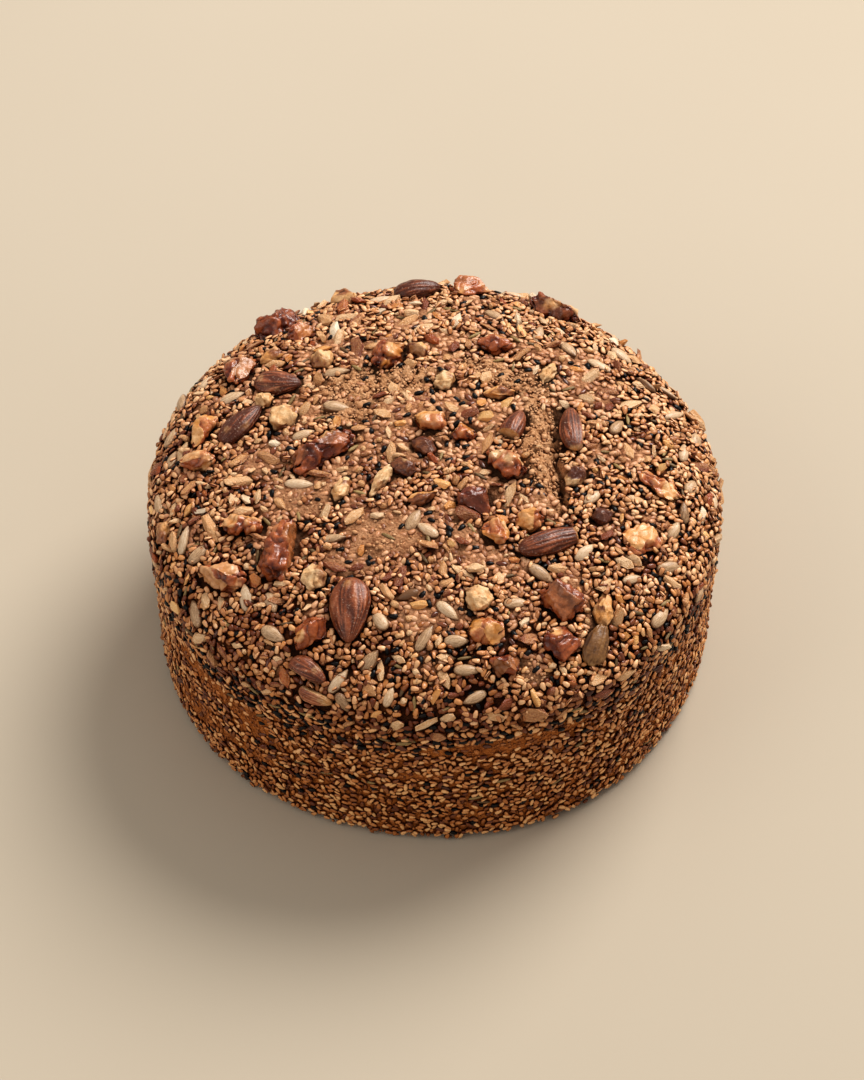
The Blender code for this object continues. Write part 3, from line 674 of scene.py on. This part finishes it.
nutDetail = {
    "sides": 60, "bands": 36, "grooves": 17, "grooveDepth": 0.058, "almondTaper": 0.28, "almondCut": 0.55,
    "walnutSize": 0.9, "walnutCuts": (2, 0.5, 0.75), "walnutFlats": (9, 0.72, 0.94),
    "chunkRough": 0.2, "chunkCuts": (3, 0.55, 0.75), "chunkFlats": (9, 0.7, 0.92), "seedTaper": 0.3,
    "foldSize": 0.0044, "foldDepth": 0.0013,
    "largeWalnut": 16, "largeFolds": (0.5, 1.0), "smallFolds": (0.12, 0.65),
    "chunkFoldSize": 0.0034, "chunkFolds": 0.0004, "brokenFolds": 0.00045,
    "sunk": {"almond": 0.3, "walnut": 0.32, "chunk": 0.34, "pumpkin": 0.3},
}


def pressFlat(body, out, depth, broken):    # what lies beyond a plane is pressed onto it
    layer = body.verts.layers.float["broken"]
    if broken:
        bmesh.ops.bisect_plane(body, geom=body.verts[:] + body.edges[:] + body.faces[:], dist=1e-5,
                               plane_co=out * depth, plane_no=out)
    for vertex in body.verts:
        beyond = vertex.co.dot(out) - depth
        if beyond > -1e-4:
            vertex.co -= out * beyond
            if broken:
                vertex[layer] = 1.0


def breakOff(body, side, rise, depth):
    out = Vector((math.cos(side) * math.cos(rise), math.sin(side) * math.cos(rise), math.sin(rise)))
    pressFlat(body, out, depth, True)


def breakAtRandom(body, cuts, near, far, draw):
    for count in range(cuts):
        side = draw.uniform(0, 2 * math.pi)
        rise = draw.uniform(0, math.pi / 3)
        breakOff(body, side, rise, draw.uniform(near, far))


def addFlats(body, count, near, far, draw):    # slight flats, so that it isn't evenly round
    for flat in range(count):
        out = Vector((draw.gauss(0, 1), draw.gauss(0, 1), abs(draw.gauss(0, 1)))).normalized()
        reach = max(vertex.co.dot(out) for vertex in body.verts)
        pressFlat(body, out, reach * draw.uniform(near, far), False)


def fillBox(body):    # stretched until it reaches from -1 to 1 along each axis
    for axis in range(3):
        low = min(vertex.co[axis] for vertex in body.verts)
        high = max(vertex.co[axis] for vertex in body.verts)
        for vertex in body.verts:
            vertex.co[axis] = 2 * (vertex.co[axis] - low) / (high - low) - 1


def almondShape(body, row, draw, extra):
    longBall(body, nutDetail["sides"], nutDetail["bands"])
    phase = extra.uniform(0, 9)
    for vertex in body.verts:
        spot = vertex.co.copy()
        around = math.atan2(spot.z, spot.y)
        fade = 1 - abs(spot.x) ** 3
        wave = ripple((around * 2.1, spot.x * 0.9, phase), 1) * 2.2
        groove = math.sin(around * nutDetail["grooves"] + wave * 3)
        pit = ripple((spot.x * 3, around * 6, phase + 4), 1)
        spot *= 1 + nutDetail["grooveDepth"] * fade * (0.7 * groove + 0.7 * pit)
        spot.y *= 1 - nutDetail["almondTaper"] * spot.x - 0.1 * spot.x ** 2
        spot.z *= 1 - 0.12 * spot.x
        vertex.co = spot
        # pit: painted shade in the grooves, painted glint on the tops of the ridges
        vertex[body.verts.layers.float["pit"]] = 0.5 - (0.55 * max(groove, 0) ** 6 + 0.45 * groove) * fade
    if row[9] is not None:
        breakOff(body, math.radians(row[9]), 0.0, nutDetail["almondCut"])
        fillBox(body)


def walnutShape(body, row, draw, extra):
    longBall(body, nutDetail["sides"], nutDetail["bands"])
    first = draw.uniform(0, 2 * math.pi)
    second = draw.uniform(0, 2 * math.pi)
    for vertex in body.verts:
        around = math.atan2(vertex.co.z, vertex.co.y)
        lobes = 0.12 * math.sin(3 * around + first) + 0.13 * math.sin(5 * vertex.co.x + second)
        vertex.co *= nutDetail["walnutSize"] + lobes
    breakAtRandom(body, *nutDetail["walnutCuts"], draw)
    addFlats(body, *nutDetail["walnutFlats"], extra)
    fillBox(body)


def roughLump(body, rough, draw):
    bmesh.ops.create_icosphere(body, subdivisions=1, radius=1)
    for vertex in body.verts:
        vertex.co *= draw.uniform(1 - rough, 1)


def chunkShape(body, row, draw, extra):
    roughLump(body, nutDetail["chunkRough"], draw)
    bmesh.ops.subdivide_edges(body, edges=body.edges, cuts=7, use_grid_fill=True)
    breakAtRandom(body, *nutDetail["chunkCuts"], draw)
    addFlats(body, *nutDetail["chunkFlats"], extra)
    fillBox(body)


def pumpkinShape(body, row, draw, extra):
    longBall(body, nutDetail["sides"], nutDetail["bands"])
    for vertex in body.verts:
        rim = max(abs(vertex.co.y) - 0.75, 0) * 4
        vertex.co.z *= 1 - 0.35 * rim
        vertex.co.y *= 1 - nutDetail["seedTaper"] * vertex.co.x
        vertex.co.z *= 1 - 0.15 * vertex.co.x
        wrinkle = ripple((vertex.co.x * 1.3, vertex.co.y * 6, vertex.co.z * 3), 1)
        vertex.co *= 1 + 0.1 * wrinkle
        # pit: painted shade in the hollows of the wrinkles, and a darker rim
        vertex[body.verts.layers.float["pit"]] = 0.9 * max(-wrinkle, 0) + 0.8 * rim - 0.2


def foldSurface(body, shift, depth, size, wave):    # rounded folds on the skin, lower where it is broken
    layers = body.verts.layers.float
    for vertex in body.verts:
        spot = vertex.co.copy()
        valley = max(1 - abs(ripple(spot, size, (shift, 0, 0))) / 0.25, 0.0) ** 2
        bulge = ripple(spot, size * 0.6, (0, 0, shift))
        small = ripple(spot, size * 0.3, (0, shift, 0))
        bend = ripple(spot, size * 1.4, (shift, shift, 0))
        swell = wave * math.sin(spot.x / 0.0012 + 7.0 * bend + spot.y / 0.0022)
        depthHere = depth * (1 - 0.45 * vertex[layers["broken"]])
        vertex.co += vertex.normal * (depthHere * (0.8 * bulge + 0.35 * small + 0.7 * swell - 0.8 * valley))
        # pit: painted shade in the valleys, painted highlight on the bulges and crests
        vertex[layers["pit"]] = 0.5 * valley + 0.3 * max(-small, 0) - 0.4 * max(bulge, 0) - 0.5 * swell


nutShapes = {"almond": almondShape, "walnut": walnutShape, "chunk": chunkShape, "pumpkin": pumpkinShape}


def makeNut(name, kind, row, slot, node, draw, extra, material):
    x, y, heading, length, width, thickness, tone, share, warm = row[:9]
    detail = nutDetail
    body = bmesh.new()
    broken = body.verts.layers.float.new("broken")
    pit = body.verts.layers.float.new("pit")
    nutShapes[kind](body, row, draw, extra)
    bmesh.ops.scale(body, verts=body.verts, vec=(length * mm / 2, width * mm / 2, thickness * mm / 2))
    body.normal_update()
    shift = x * 0.37 + y * 0.11
    if kind == "walnut":
        wave, deep = detail["largeFolds"] if length > detail["largeWalnut"] else detail["smallFolds"]
        foldSurface(body, shift, detail["foldDepth"] * deep, detail["foldSize"], wave)
    if kind == "chunk":
        deep = detail["chunkFolds"] + detail["brokenFolds"] * share
        foldSurface(body, shift, deep, detail["chunkFoldSize"], 0.0)
    values = {"tone": [], "flesh": [], "warm": [], "pit": []}
    peeled = (0.6 if kind == "walnut" else 1.0) * share
    cutShare = 1.0 if kind == "almond" else limited(2.2 * share - 0.1)
    for vertex in body.verts:
        patch = 0.5 + 1.1 * ripple(vertex.co, 0.0075, (x, y, 0))
        edge = 0.1 * ripple(vertex.co, 0.001)
        values["flesh"].append(max(limited((patch + edge - (1 - peeled)) * 4), vertex[broken] * cutShare))
        values["tone"].append(tone + 0.35 * ripple(vertex.co, 0.005, (y, x, 0)))
        values["warm"].append(warm + 0.5 * ripple(vertex.co, 0.003, (0, x, y)))
        values["pit"].append(vertex[pit])
    bmesh.ops.translate(body, verts=body.verts, vec=(0, 0, thickness * mm * (0.5 - detail["sunk"][kind])))
    body.transform(placeOnTop(x, y, heading))
    nut = finishMesh(name, body, material)
    nut.data.attributes.remove(nut.data.attributes["pit"])
    for key, found in values.items():
        storeValues(nut.data, key, found)
    setDown(nut, slot, node)


def makeNuts():
    draw = random.Random(11)    # the same draws as the solids have, so that the forms agree
    extra = random.Random(5)
    skins = {kind: makeNutMaterial(kind) for kind in nutLooks}
    for kind, rows, piece, slot in (("almond", almonds, "almondNut", "almond_skin"),
                                    ("walnut", walnuts, "walnutPiece", "walnut_meat"),
                                    ("chunk", chunks, "nutChunk", "nut_chunk")):
        for count, row in enumerate(rows, 1):
            makeNut(f"{piece}{count}", kind, row, slot, f"{kind}_{count}", draw, extra, skins[kind])
    skin = skins["pumpkin"]
    makeNut("pumpkinSeed", "pumpkin", pumpkinSeed, "pumpkin_seed", "pumpkin_seed", draw, extra, skin)


# seeds, bits of nut and crumbs, joined into one mesh for each kind

def seedBase(sides, bands, taper, point=0.0, plump=0.0):    # a drop with its narrow end at +X, as arrays
    body = bmesh.new()
    longBall(body, sides, bands)
    for vertex in body.verts:
        along = vertex.co.x
        change = plump * along * along * (1 - 0.5 * along) - point * max(along, 0) ** 2
        vertex.co.y *= 1 - taper * along + change
        vertex.co.z *= 1 - 0.5 * taper * along + change
    return baseArrays(body)


def lumpBase(draw, rough, cuts):    # an angular lump, as arrays
    body = bmesh.new()
    roughLump(body, rough, draw)
    for cut in range(cuts):
        out = Vector((draw.gauss(0, 1), draw.gauss(0, 1), draw.uniform(0, 1.2))).normalized()
        bmesh.ops.bisect_plane(body, geom=body.verts[:] + body.edges[:] + body.faces[:], dist=1e-5,
                               plane_co=out * draw.uniform(0.35, 0.7), plane_no=out, clear_outer=True)
        bmesh.ops.holes_fill(body, edges=body.edges, sides=0)
    fillBox(body)
    bmesh.ops.triangulate(body, faces=body.faces)
    return baseArrays(body)


def baseArrays(body):
    bmesh.ops.recalc_face_normals(body, faces=body.faces)
    body.verts.index_update()
    coords = np.array([vertex.co[:] for vertex in body.verts])
    corners = np.array([vertex.index for face in body.faces for vertex in face.verts])
    counts = np.array([len(face.verts) for face in body.faces])
    body.free()
    return coords, corners, np.cumsum(counts) - counts


def joinCopies(name, bases, copies, look, smooth=True, slot="crust"):    # copies: which base, place, tone
    coords, corners, starts, tones, owns = [], [], [], [], []
    pointCount = 0
    cornerCount = 0
    for which, place, tone in copies:
        shape, faceCorners, faceStarts = bases[which]
        matrix = np.array(place)
        coords.append(shape @ matrix[:3, :3].T + matrix[:3, 3])
        corners.append(faceCorners + pointCount)
        starts.append(faceStarts + cornerCount)
        tones.append(np.full(len(shape), tone))
        owns.append(shape)
        pointCount += len(shape)
        cornerCount += len(faceCorners)
    starts = np.concatenate(starts)
    mesh = bpy.data.meshes.new(name)
    mesh.vertices.add(pointCount)
    mesh.vertices.foreach_set("co", np.concatenate(coords).astype(np.float32).ravel())
    mesh.loops.add(cornerCount)
    mesh.loops.foreach_set("vertex_index", np.concatenate(corners).astype(np.int32))
    mesh.polygons.add(len(starts))
    mesh.polygons.foreach_set("loop_start", starts.astype(np.int32))
    mesh.update()
    mesh.validate()
    storeValues(mesh, "tone", np.concatenate(tones))
    storeValues(mesh, "own", np.concatenate(owns), "FLOAT_VECTOR", "vector")
    setDown(linkPiece(name, mesh, makeSeedMaterial(look), smooth), slot)
    print("tea cake:", name, len(copies))


groundCell = 0.004
cellsAround = [(dx, dy, dz) for dx in (-1, 0, 1) for dy in (-1, 0, 1) for dz in (-1, 0, 1)]


class Ground:    # remembers what already lies on the cake
    def __init__(self):
        self.nuts = []
        for row in allNuts:
            place = placeOnTop(*row[:3])
            self.nuts.append((place.inverted(), row[3] * mm / 2, row[4] * mm / 2, place.translation))
        self.cells = {}

    def key(self, point):
        return tuple(int(math.floor(value / groundCell)) for value in point)

    def add(self, point, reach):
        self.cells.setdefault(self.key(point), []).append((point.copy(), reach))

    def near(self, point):
        cx, cy, cz = self.key(point)
        for dx, dy, dz in cellsAround:
            yield from self.cells.get((cx + dx, cy + dy, cz + dz), ())

    def underNut(self, point, margin):
        for seenFrom, halfLength, halfWidth, middle in self.nuts:
            if (point - middle).length > halfLength + 0.006:
                continue
            local = seenFrom @ point
            if (local.x / (halfLength + margin)) ** 2 + (local.y / (halfWidth + margin)) ** 2 < 1:
                return True
        return False

    def crowded(self, point, reach):
        return any((point - other).length < reach + otherReach for other, otherReach in self.near(point))

    def spotsAlong(self, place, length, reach):    # circles that cover a long piece
        count = max(2, math.ceil(length / (3 * reach)))
        half = max(length / 2 - reach, 0)
        along = place.col[0].xyz
        return [place.translation + along * half * (2 * step / (count - 1) - 1) for step in range(count)]

    def overlap(self, place, length, reach):    # by how much a piece here would run into others
        worst = -reach
        for spot in self.spotsAlong(place, length, reach):
            for other, otherReach in self.near(spot):
                worst = max(worst, reach + otherReach - (spot - other).length)
        return worst

    def takes(self, place, length, reach):    # lays a piece down if there is room for it
        spots = self.spotsAlong(place, length, reach)
        if any(self.underNut(spot, reach * 0.8) or self.crowded(spot, reach) for spot in spots):
            return False
        for spot in spots:
            self.add(spot, reach)
        return True


def areaTable(low, high):    # so that a random place is as likely on every bit of the surface
    climbs = np.linspace(low, high, 400)
    profile = np.array([skin(climb) for climb in climbs])
    bands = np.hypot(*np.diff(profile, axis=0).T) * (profile[1:, 0] + profile[:-1, 0])
    return np.concatenate([[0], np.cumsum(bands) / bands.sum()]), climbs


def pickSpot(table, draw):
    heading = draw.uniform(-math.pi, math.pi)
    climb = float(np.interp(draw.random(), *table))
    return heading, climb, crustPoint(heading, climb)


def sizedPlace(place, size, lift, draw, lean):
    tilt = Matrix.Rotation(draw.gauss(0, lean), 4, "X") @ Matrix.Rotation(draw.gauss(0, lean), 4, "Y")
    raised = place @ Matrix.Translation((0, 0, lift))
    return raised @ tilt @ Matrix.Diagonal([value * mm / 2 for value in size] + [1])


kernelRule = {"length": (10.5, 0.85, 1.15), "width": (5.2, 0.85, 1.1), "thickness": (3.5, 0.8, 1.1),
              "reach": 0.0017, "lift": 0.15, "lean": 0.12, "darkest": 0.4, "shape": (8, 9, 0.18, 0.42)}
kernelRows = [    # x, y and heading, in mm and degrees
    (-33, -91, 53), (29, -65, 4), (38, -52, -33), (57, -17, 45), (-89, -29, 65), (-83, -36, 38),
    (-66, -36, -49), (-63, -52, -55), (-84, -57, 91), (-66, -58, 91), (-48, -11, -5), (-99, -8, 92),
    (-36, 43, -6), (-74, 35, 14), (-35, 24, -4), (-47, 11, 22), (23, 76, -51), (50, 58, -62),
    (62, 50, -35), (70, 60, -33), (77, 54, -48), (86, 45, -32), (88, 31, 30), (96, 22, 80),
    (91, 12, 81), (67, 18, 61), (93, -4, 61), (84, -41, 18), (86, -26, 65), (80, -60, 54),
    (5, -69, -42), (8, -80, 1), (-3, -79, 61), (-56, -73, -36), (-22, -86, 47), (-57, -61, -71),
    (-96, 24, 66), (-95, 11, 76), (12, -90, 1), (-7, -31, 65), (39, 65, 77), (31, 56, 83),
    (-36, -38, -4), (-18, -68, -2), (-20, 90, 20), (66, 78, -50), (-84, 48, 60), (30, 97, -15),
]


def strewKernels(ground, draw):
    rule = kernelRule
    copies = []
    for row in kernelRows:
        place = placeOnTop(*row)
        size = [value * draw.uniform(low, high) for value, low, high in (rule["length"], rule["width"],
                                                                         rule["thickness"])]
        if ground.takes(place, size[0] * mm, rule["reach"]):
            sized = sizedPlace(place, size, size[2] * mm * rule["lift"], draw, rule["lean"])
            copies.append((0, sized, draw.uniform(0, rule["darkest"])))
    joinCopies("sunflowerKernels", [seedBase(*rule["shape"])], copies, "kernel")


# how each kind is strewn, the largest first: look, shape, how many, size in mm, spread of the size, half of
# the room it takes across, where on the crust (0 to 1 is the side, 1 to 2 the top), lean in radians, lift in
# shares of its thickness, mean and spread of its tone, and how much it keeps to clusters
strewn = {
    "kernelsLoose": ("kernel", "kernel", 16, (9.4, 4.5, 3.0), 0.12, 0.0018, (0.95, 2.0),
        0.2, 0.3, 0.35, 0.3, 0.0),
    "nutFlakes": ("bit", "shard", 100, (8.4, 4.2, 1.8), 0.35, 0.0016, (0.99, 2.0),
        0.35, 0.45, 0.22, 0.3, 0.4),
    "whiteBits": ("whiteBit", "shard", 30, (6.6, 3.1, 2.0), 0.3, 0.0011, (0.99, 2.0),
        0.45, 0.5, 0.25, 0.25, 0.5),
    "amberBits": ("amber", "shard", 80, (5.6, 3.2, 2.0), 0.35, 0.001, (0.99, 2.0),
        0.45, 0.45, 0.4, 0.32, 0.8),
    "nutBits": ("bit", "shard", 210, (5.8, 2.9, 1.9), 0.4, 0.0011, (0.97, 2.0),
        0.45, 0.4, 0.26, 0.34, 0.5),
    "nutCrumbs": ("bit", "shard", 420, (2.8, 2.1, 1.8), 0.35, 0.0007, (0.97, 2.0),
        0.4, 0.4, 0.38, 0.32, 0.6),
    "fennelSeeds": ("fennel", "slender", 150, (5.8, 1.5, 1.3), 0.12, 0.0006, (0.9, 2.0),
        0.15, 0.5, 0.4, 0.25, 0.6),
    "flaxSeeds": ("flax", "oval", 240, (4.2, 2.2, 1.2), 0.12, 0.0009, (0.8, 2.0),
        0.2, 0.45, 0.4, 0.25, 0.6),
    "blackSesame": ("blackSesame", "sesame", 640, (3.4, 1.95, 1.3), 0.12, 0.0007, (0.8, 2.0),
        0.2, 0.5, 0.4, 0.25, 1.0),
    "blackShoulder": ("blackSesame", "sesame", 175, (3.2, 1.8, 1.2), 0.12, 0.0007, (0.82, 1.45),
        0.3, 0.7, 0.4, 0.25, 1.0),
    "fennelSide": ("fennel", "slender", 45, (5.6, 1.4, 1.1), 0.12, 0.0009, (0.1, 0.95),
        0.12, 0.25, 0.5, 0.2, 0.3),
    "flaxSide": ("flax", "oval", 70, (4.0, 2.1, 1.1), 0.12, 0.0009, (0.08, 0.9),
        0.12, 0.25, 0.4, 0.25, 0.3),
    "blackSesameSide": ("blackSesame", "sesame", 220, (3.0, 1.7, 1.1), 0.12, 0.0007, (0.05, 0.9),
        0.12, 0.25, 0.4, 0.25, 0.5),
    "sesameLoose": ("sesame", "sesame", 3200, (3.3, 2.1, 1.25), 0.12, 0.0007, (1.08, 1.9),
        0.4, 1.0, 0.25, 0.22, 0.0),
}
strewRule = {"tries": 14, "clusterSize": 0.016, "onStreak": 0.88, "onBare": 0.94, "crackEdge": 0.001,
             "sideTurn": 0.35, "blackShare": 0.6}


def strew(name, shapes, ground, draw):
    (look, shape, count, size, spread, reach, (low, high), lean, lift, toneMean, toneSpread,
     cluster) = strewn[name]
    rule = strewRule
    shift = (draw.uniform(0, 50), 0, 0)
    table = areaTable(low, high)
    copies = []
    for attempt in range(count * rule["tries"]):
        if len(copies) >= count:
            break
        heading, climb, spot = pickSpot(table, draw)
        if ground.crowded(spot, reach):
            continue
        if ripple(spot, rule["clusterSize"], shift) < draw.uniform(-0.5, 0.2) * cluster:
            continue
        dark = darkShare(spot.x, spot.y) if climb > 1 else 0.0
        if look == "blackSesame" and climb > 1 and draw.random() > rule["blackShare"] + dark:
            continue
        if climb < 1:
            if sideBare(heading, climb) and draw.random() < rule["onStreak"]:
                continue
            turn = draw.gauss(0, rule["sideTurn"])
        else:
            if (draw.random() < bareness(spot.x, spot.y)[0] * rule["onBare"]
                    or crackDepth(spot.x, spot.y) > rule["crackEdge"]):
                continue
            if name == "sesameLoose" and draw.random() < max(glazeShare(spot.x, spot.y), 0.8 * dark):
                continue
            turn = draw.uniform(0, 2 * math.pi)
        place = placeOnCrust(heading, climb, turn)
        share = draw.uniform(1 - spread, 1 + spread)
        sized = [value * share * draw.uniform(1 - spread / 2, 1 + spread / 2) for value in size]
        if not ground.takes(place, sized[0] * mm, reach):
            continue
        up = (lift + draw.uniform(-0.12, 0.15)) * sized[2] * mm
        tone = limited(draw.gauss(toneMean, toneSpread))
        copies.append((draw.randrange(len(shapes[shape])), sizedPlace(place, sized, up, draw, lean), tone))
    smooth = shape != "shard" or name == "nutCrumbs"
    joinCopies(name, shapes[shape], copies, look, smooth, "nut_chunk" if shape == "shard" else "crust")


sesameRule = {
    "sites": ((11400, (1.0, 2.0)), (8800, (0.03, 1.0))),
    "size": (3.5, 2.2, 1.35), "sideSize": (0.86, 0.82, 0.82),
    "reach": 0.00082, "tries": 6, "shift": 0.0005, "paleLow": 0.95, "paleHigh": 1.3, "frontHigh": 0.35,
    "crush": 0.0007, "onStreak": 0.85, "tone": 0.28, "toneSpread": 0.24, "sideTone": 0.38, "sideSpread": 0.34,
    "darkTone": 0.3, "frontShade": 0.17, "leftShade": 0.21, "shoulderTone": 0.1,
}
sesamePieces = {"sesame": "paleSesame", "glazed": "glazedSesame", "toasted": "toastedSesame",
                "baked": "bakedSesame"}


def sesameTone(heading, climb, dark, draw):
    rule = sesameRule
    # painted shade: seeds on the top are darker towards the front and the left, where less light falls
    shaded = rule["frontShade"] * max(-math.sin(heading), 0.0)
    shaded += rule["leftShade"] * max(-math.cos(heading), 0.0)
    if climb > 1:
        tone = draw.gauss(rule["tone"] + rule["darkTone"] * dark + shaded, rule["toneSpread"])
    else:
        tone = draw.gauss(rule["sideTone"], rule["sideSpread"])
    return limited(tone + rule["shoulderTone"] * (0.86 < climb < 1.16))


def bestFit(level, climb, length, ground, draw):    # the turn at which it runs least into its neighbours
    rule = sesameRule
    best = None
    for attempt in range(rule["tries"]):
        turn = draw.gauss(0, 0.9) if climb < 0.95 else draw.uniform(0, 2 * math.pi)
        moved = Matrix.Translation((draw.gauss(0, rule["shift"]), draw.gauss(0, rule["shift"]), 0))
        place = level @ moved @ Matrix.Rotation(turn, 4, "Z")
        worst = ground.overlap(place, length, rule["reach"])
        if best is None or worst < best[0]:
            best = (worst, place)
    return best


def strewSesame(bases, ground, draw):    # evenly spaced, each turned to fit best between its neighbours
    rule = sesameRule
    golden = math.pi * (3 - math.sqrt(5))
    copies = {look: [] for look in sesamePieces}
    for count, (low, high) in rule["sites"]:
        table = areaTable(low, high)
        for site in range(count):
            heading = site * golden + draw.gauss(0, 0.008)
            climb = float(np.interp((site + draw.random()) / count, *table))
            spot = crustPoint(heading, climb)
            glaze = dark = 0.0
            if climb < 1:
                turned = math.atan2(math.sin(heading), math.cos(heading))
                if sideBare(turned, climb) and draw.random() < rule["onStreak"]:
                    continue
            else:
                glaze = glazeShare(spot.x, spot.y)
                clear, crumbly = bareness(spot.x, spot.y)
                if (draw.random() < max(0.75 * clear, 0.97 * crumbly)
                        or crackDepth(spot.x, spot.y) > strewRule["crackEdge"]):
                    continue
                dark = darkShare(spot.x, spot.y)
                if draw.random() < max(0.3 * (glaze > 0.9), 0.5 * dark):
                    continue
            if ground.underNut(spot, 0.0006):
                continue
            share = draw.uniform(0.86, 1.12)
            size = [value * share * draw.uniform(0.94, 1.06) for value in rule["size"]]
            if climb < 0.9:
                size = [value * less for value, less in zip(size, rule["sideSize"])]
            worst, place = bestFit(placeOnCrust(heading, climb, 0), climb, size[0] * mm, ground, draw)
            if worst > rule["crush"]:
                continue
            for point in ground.spotsAlong(place, size[0] * mm, rule["reach"]):
                ground.add(point, rule["reach"])
            crush = max(worst, 0) / rule["crush"]
            up = (0.16 + draw.uniform(-0.1, 0.12) + 0.5 * crush - 0.25 * dark) * (1 - 0.45 * glaze)
            sized = sizedPlace(place, size, up * size[2] * mm, draw, (0.1 + 0.2 * crush) * (1 - 0.6 * glaze))
            high = rule["paleHigh"] + rule["frontHigh"] * max(-math.sin(heading), 0.0)
            pale = limited((climb - rule["paleLow"]) / (high - rule["paleLow"]))
            look = "sesame" if glaze < 0.4 else "glazed"
            if draw.random() > pale:
                look = "toasted" if climb > draw.uniform(0.25, 0.75) else "baked"
            tone = sesameTone(heading, climb, dark, draw)
            copies[look].append((draw.randrange(len(bases)), sized, tone))
    for look, name in sesamePieces.items():
        joinCopies(name, bases, copies[look], look)


# crumbs: look, how many, and where on the crust
crumbRule = {"crumbs": ("crumb", 3400, 1.0, 2.0), "sideCrumbs": ("sideCrumb", 2600, 0.02, 1.0)}
crumbSize = {"sides": (0.95, 0.8, 0.6), "reach": 0.0003, "tries": 12,
             "usual": (0.6, 1.6), "large": (1.6, 2.8), "largeShare": 0.1}


def strewCrumbs(name, bases, ground, draw):
    look, count, low, high = crumbRule[name]
    table = areaTable(low, high)
    copies = []
    for attempt in range(count * crumbSize["tries"]):
        if len(copies) >= count:
            break
        heading, climb, spot = pickSpot(table, draw)
        chance = 0.12 + bareness(spot.x, spot.y)[1] if climb > 1 else 0.2 + 0.7 * sideBare(heading, climb)
        if draw.random() > chance:
            continue
        if ground.underNut(spot, 0) or ground.crowded(spot, crumbSize["reach"]):
            continue
        share = draw.uniform(*crumbSize["usual" if draw.random() > crumbSize["largeShare"] else "large"])
        sized = [value * share for value in crumbSize["sides"]]
        place = placeOnCrust(heading, climb, draw.uniform(0, 2 * math.pi))
        if climb > 1:
            place.translation.z -= crackDepth(spot.x, spot.y)
        up = (draw.uniform(0.0, 0.4) + 0.4 * (climb > 1)) * sized[2] * mm
        copies.append((draw.randrange(len(bases)), sizedPlace(place, sized, up, draw, 0.5),
                       limited(draw.gauss(0.35, 0.25))))
        ground.add(spot, crumbSize["reach"])
    joinCopies(name, bases, copies, look)


def strewAll():
    draw = random.Random(23)
    ground = Ground()
    shapes = {
        "sesame": [seedBase(6, 4, 0.3, plump=0.3), seedBase(6, 4, 0.22, plump=0.22)],
        "slender": [seedBase(7, 5, 0.08)],
        "kernel": [seedBase(8, 8, 0.18, 0.42), seedBase(8, 8, 0.16, 0.3)],
        "oval": [seedBase(8, 5, 0.25)],
        "lump": [lumpBase(draw, 0.35, 0) for count in range(5)],
        "shard": [lumpBase(draw, 0.3, 3) for count in range(9)],
    }
    strewKernels(ground, draw)
    for name in strewn:
        if name != "sesameLoose":
            strew(name, shapes, ground, draw)
    strewSesame(shapes["sesame"], ground, draw)
    strew("sesameLoose", shapes, Ground(), draw)    # a second layer, on top of the rest
    for name in crumbRule:
        strewCrumbs(name, shapes["lump"], ground, draw)


floorLook = {"size": 8.0, "drop": 0.0002, "pale": (0.56, 0.485, 0.385), "deep": (0.54, 0.465, 0.365),
             "roughness": 0.9, "clouds": (1.5, 0.3, 0.7), "bumps": (900.0, 0.05, 0.0001)}


def makeFloor():
    look = floorLook
    material, tree, spot = startMaterial("floor", Roughness=look["roughness"])
    colour = mixColour(tree, patches(tree, spot, *look["clouds"]), look["pale"], look["deep"])
    setShader(material, Base_Color=colour, Normal=bumps(tree, spot, *look["bumps"]))
    body = bmesh.new()
    bmesh.ops.create_grid(body, x_segments=2, y_segments=2, size=look["size"] / 2)
    bmesh.ops.translate(body, verts=body.verts, vec=(0, 0, -look["drop"]))
    floor = finishMesh("floor", body, material)


makeFloor()
makeCrust(makeCrustMaterial())
print("tea cake: crust")
makeNuts()
print("tea cake: nuts")
strewAll()
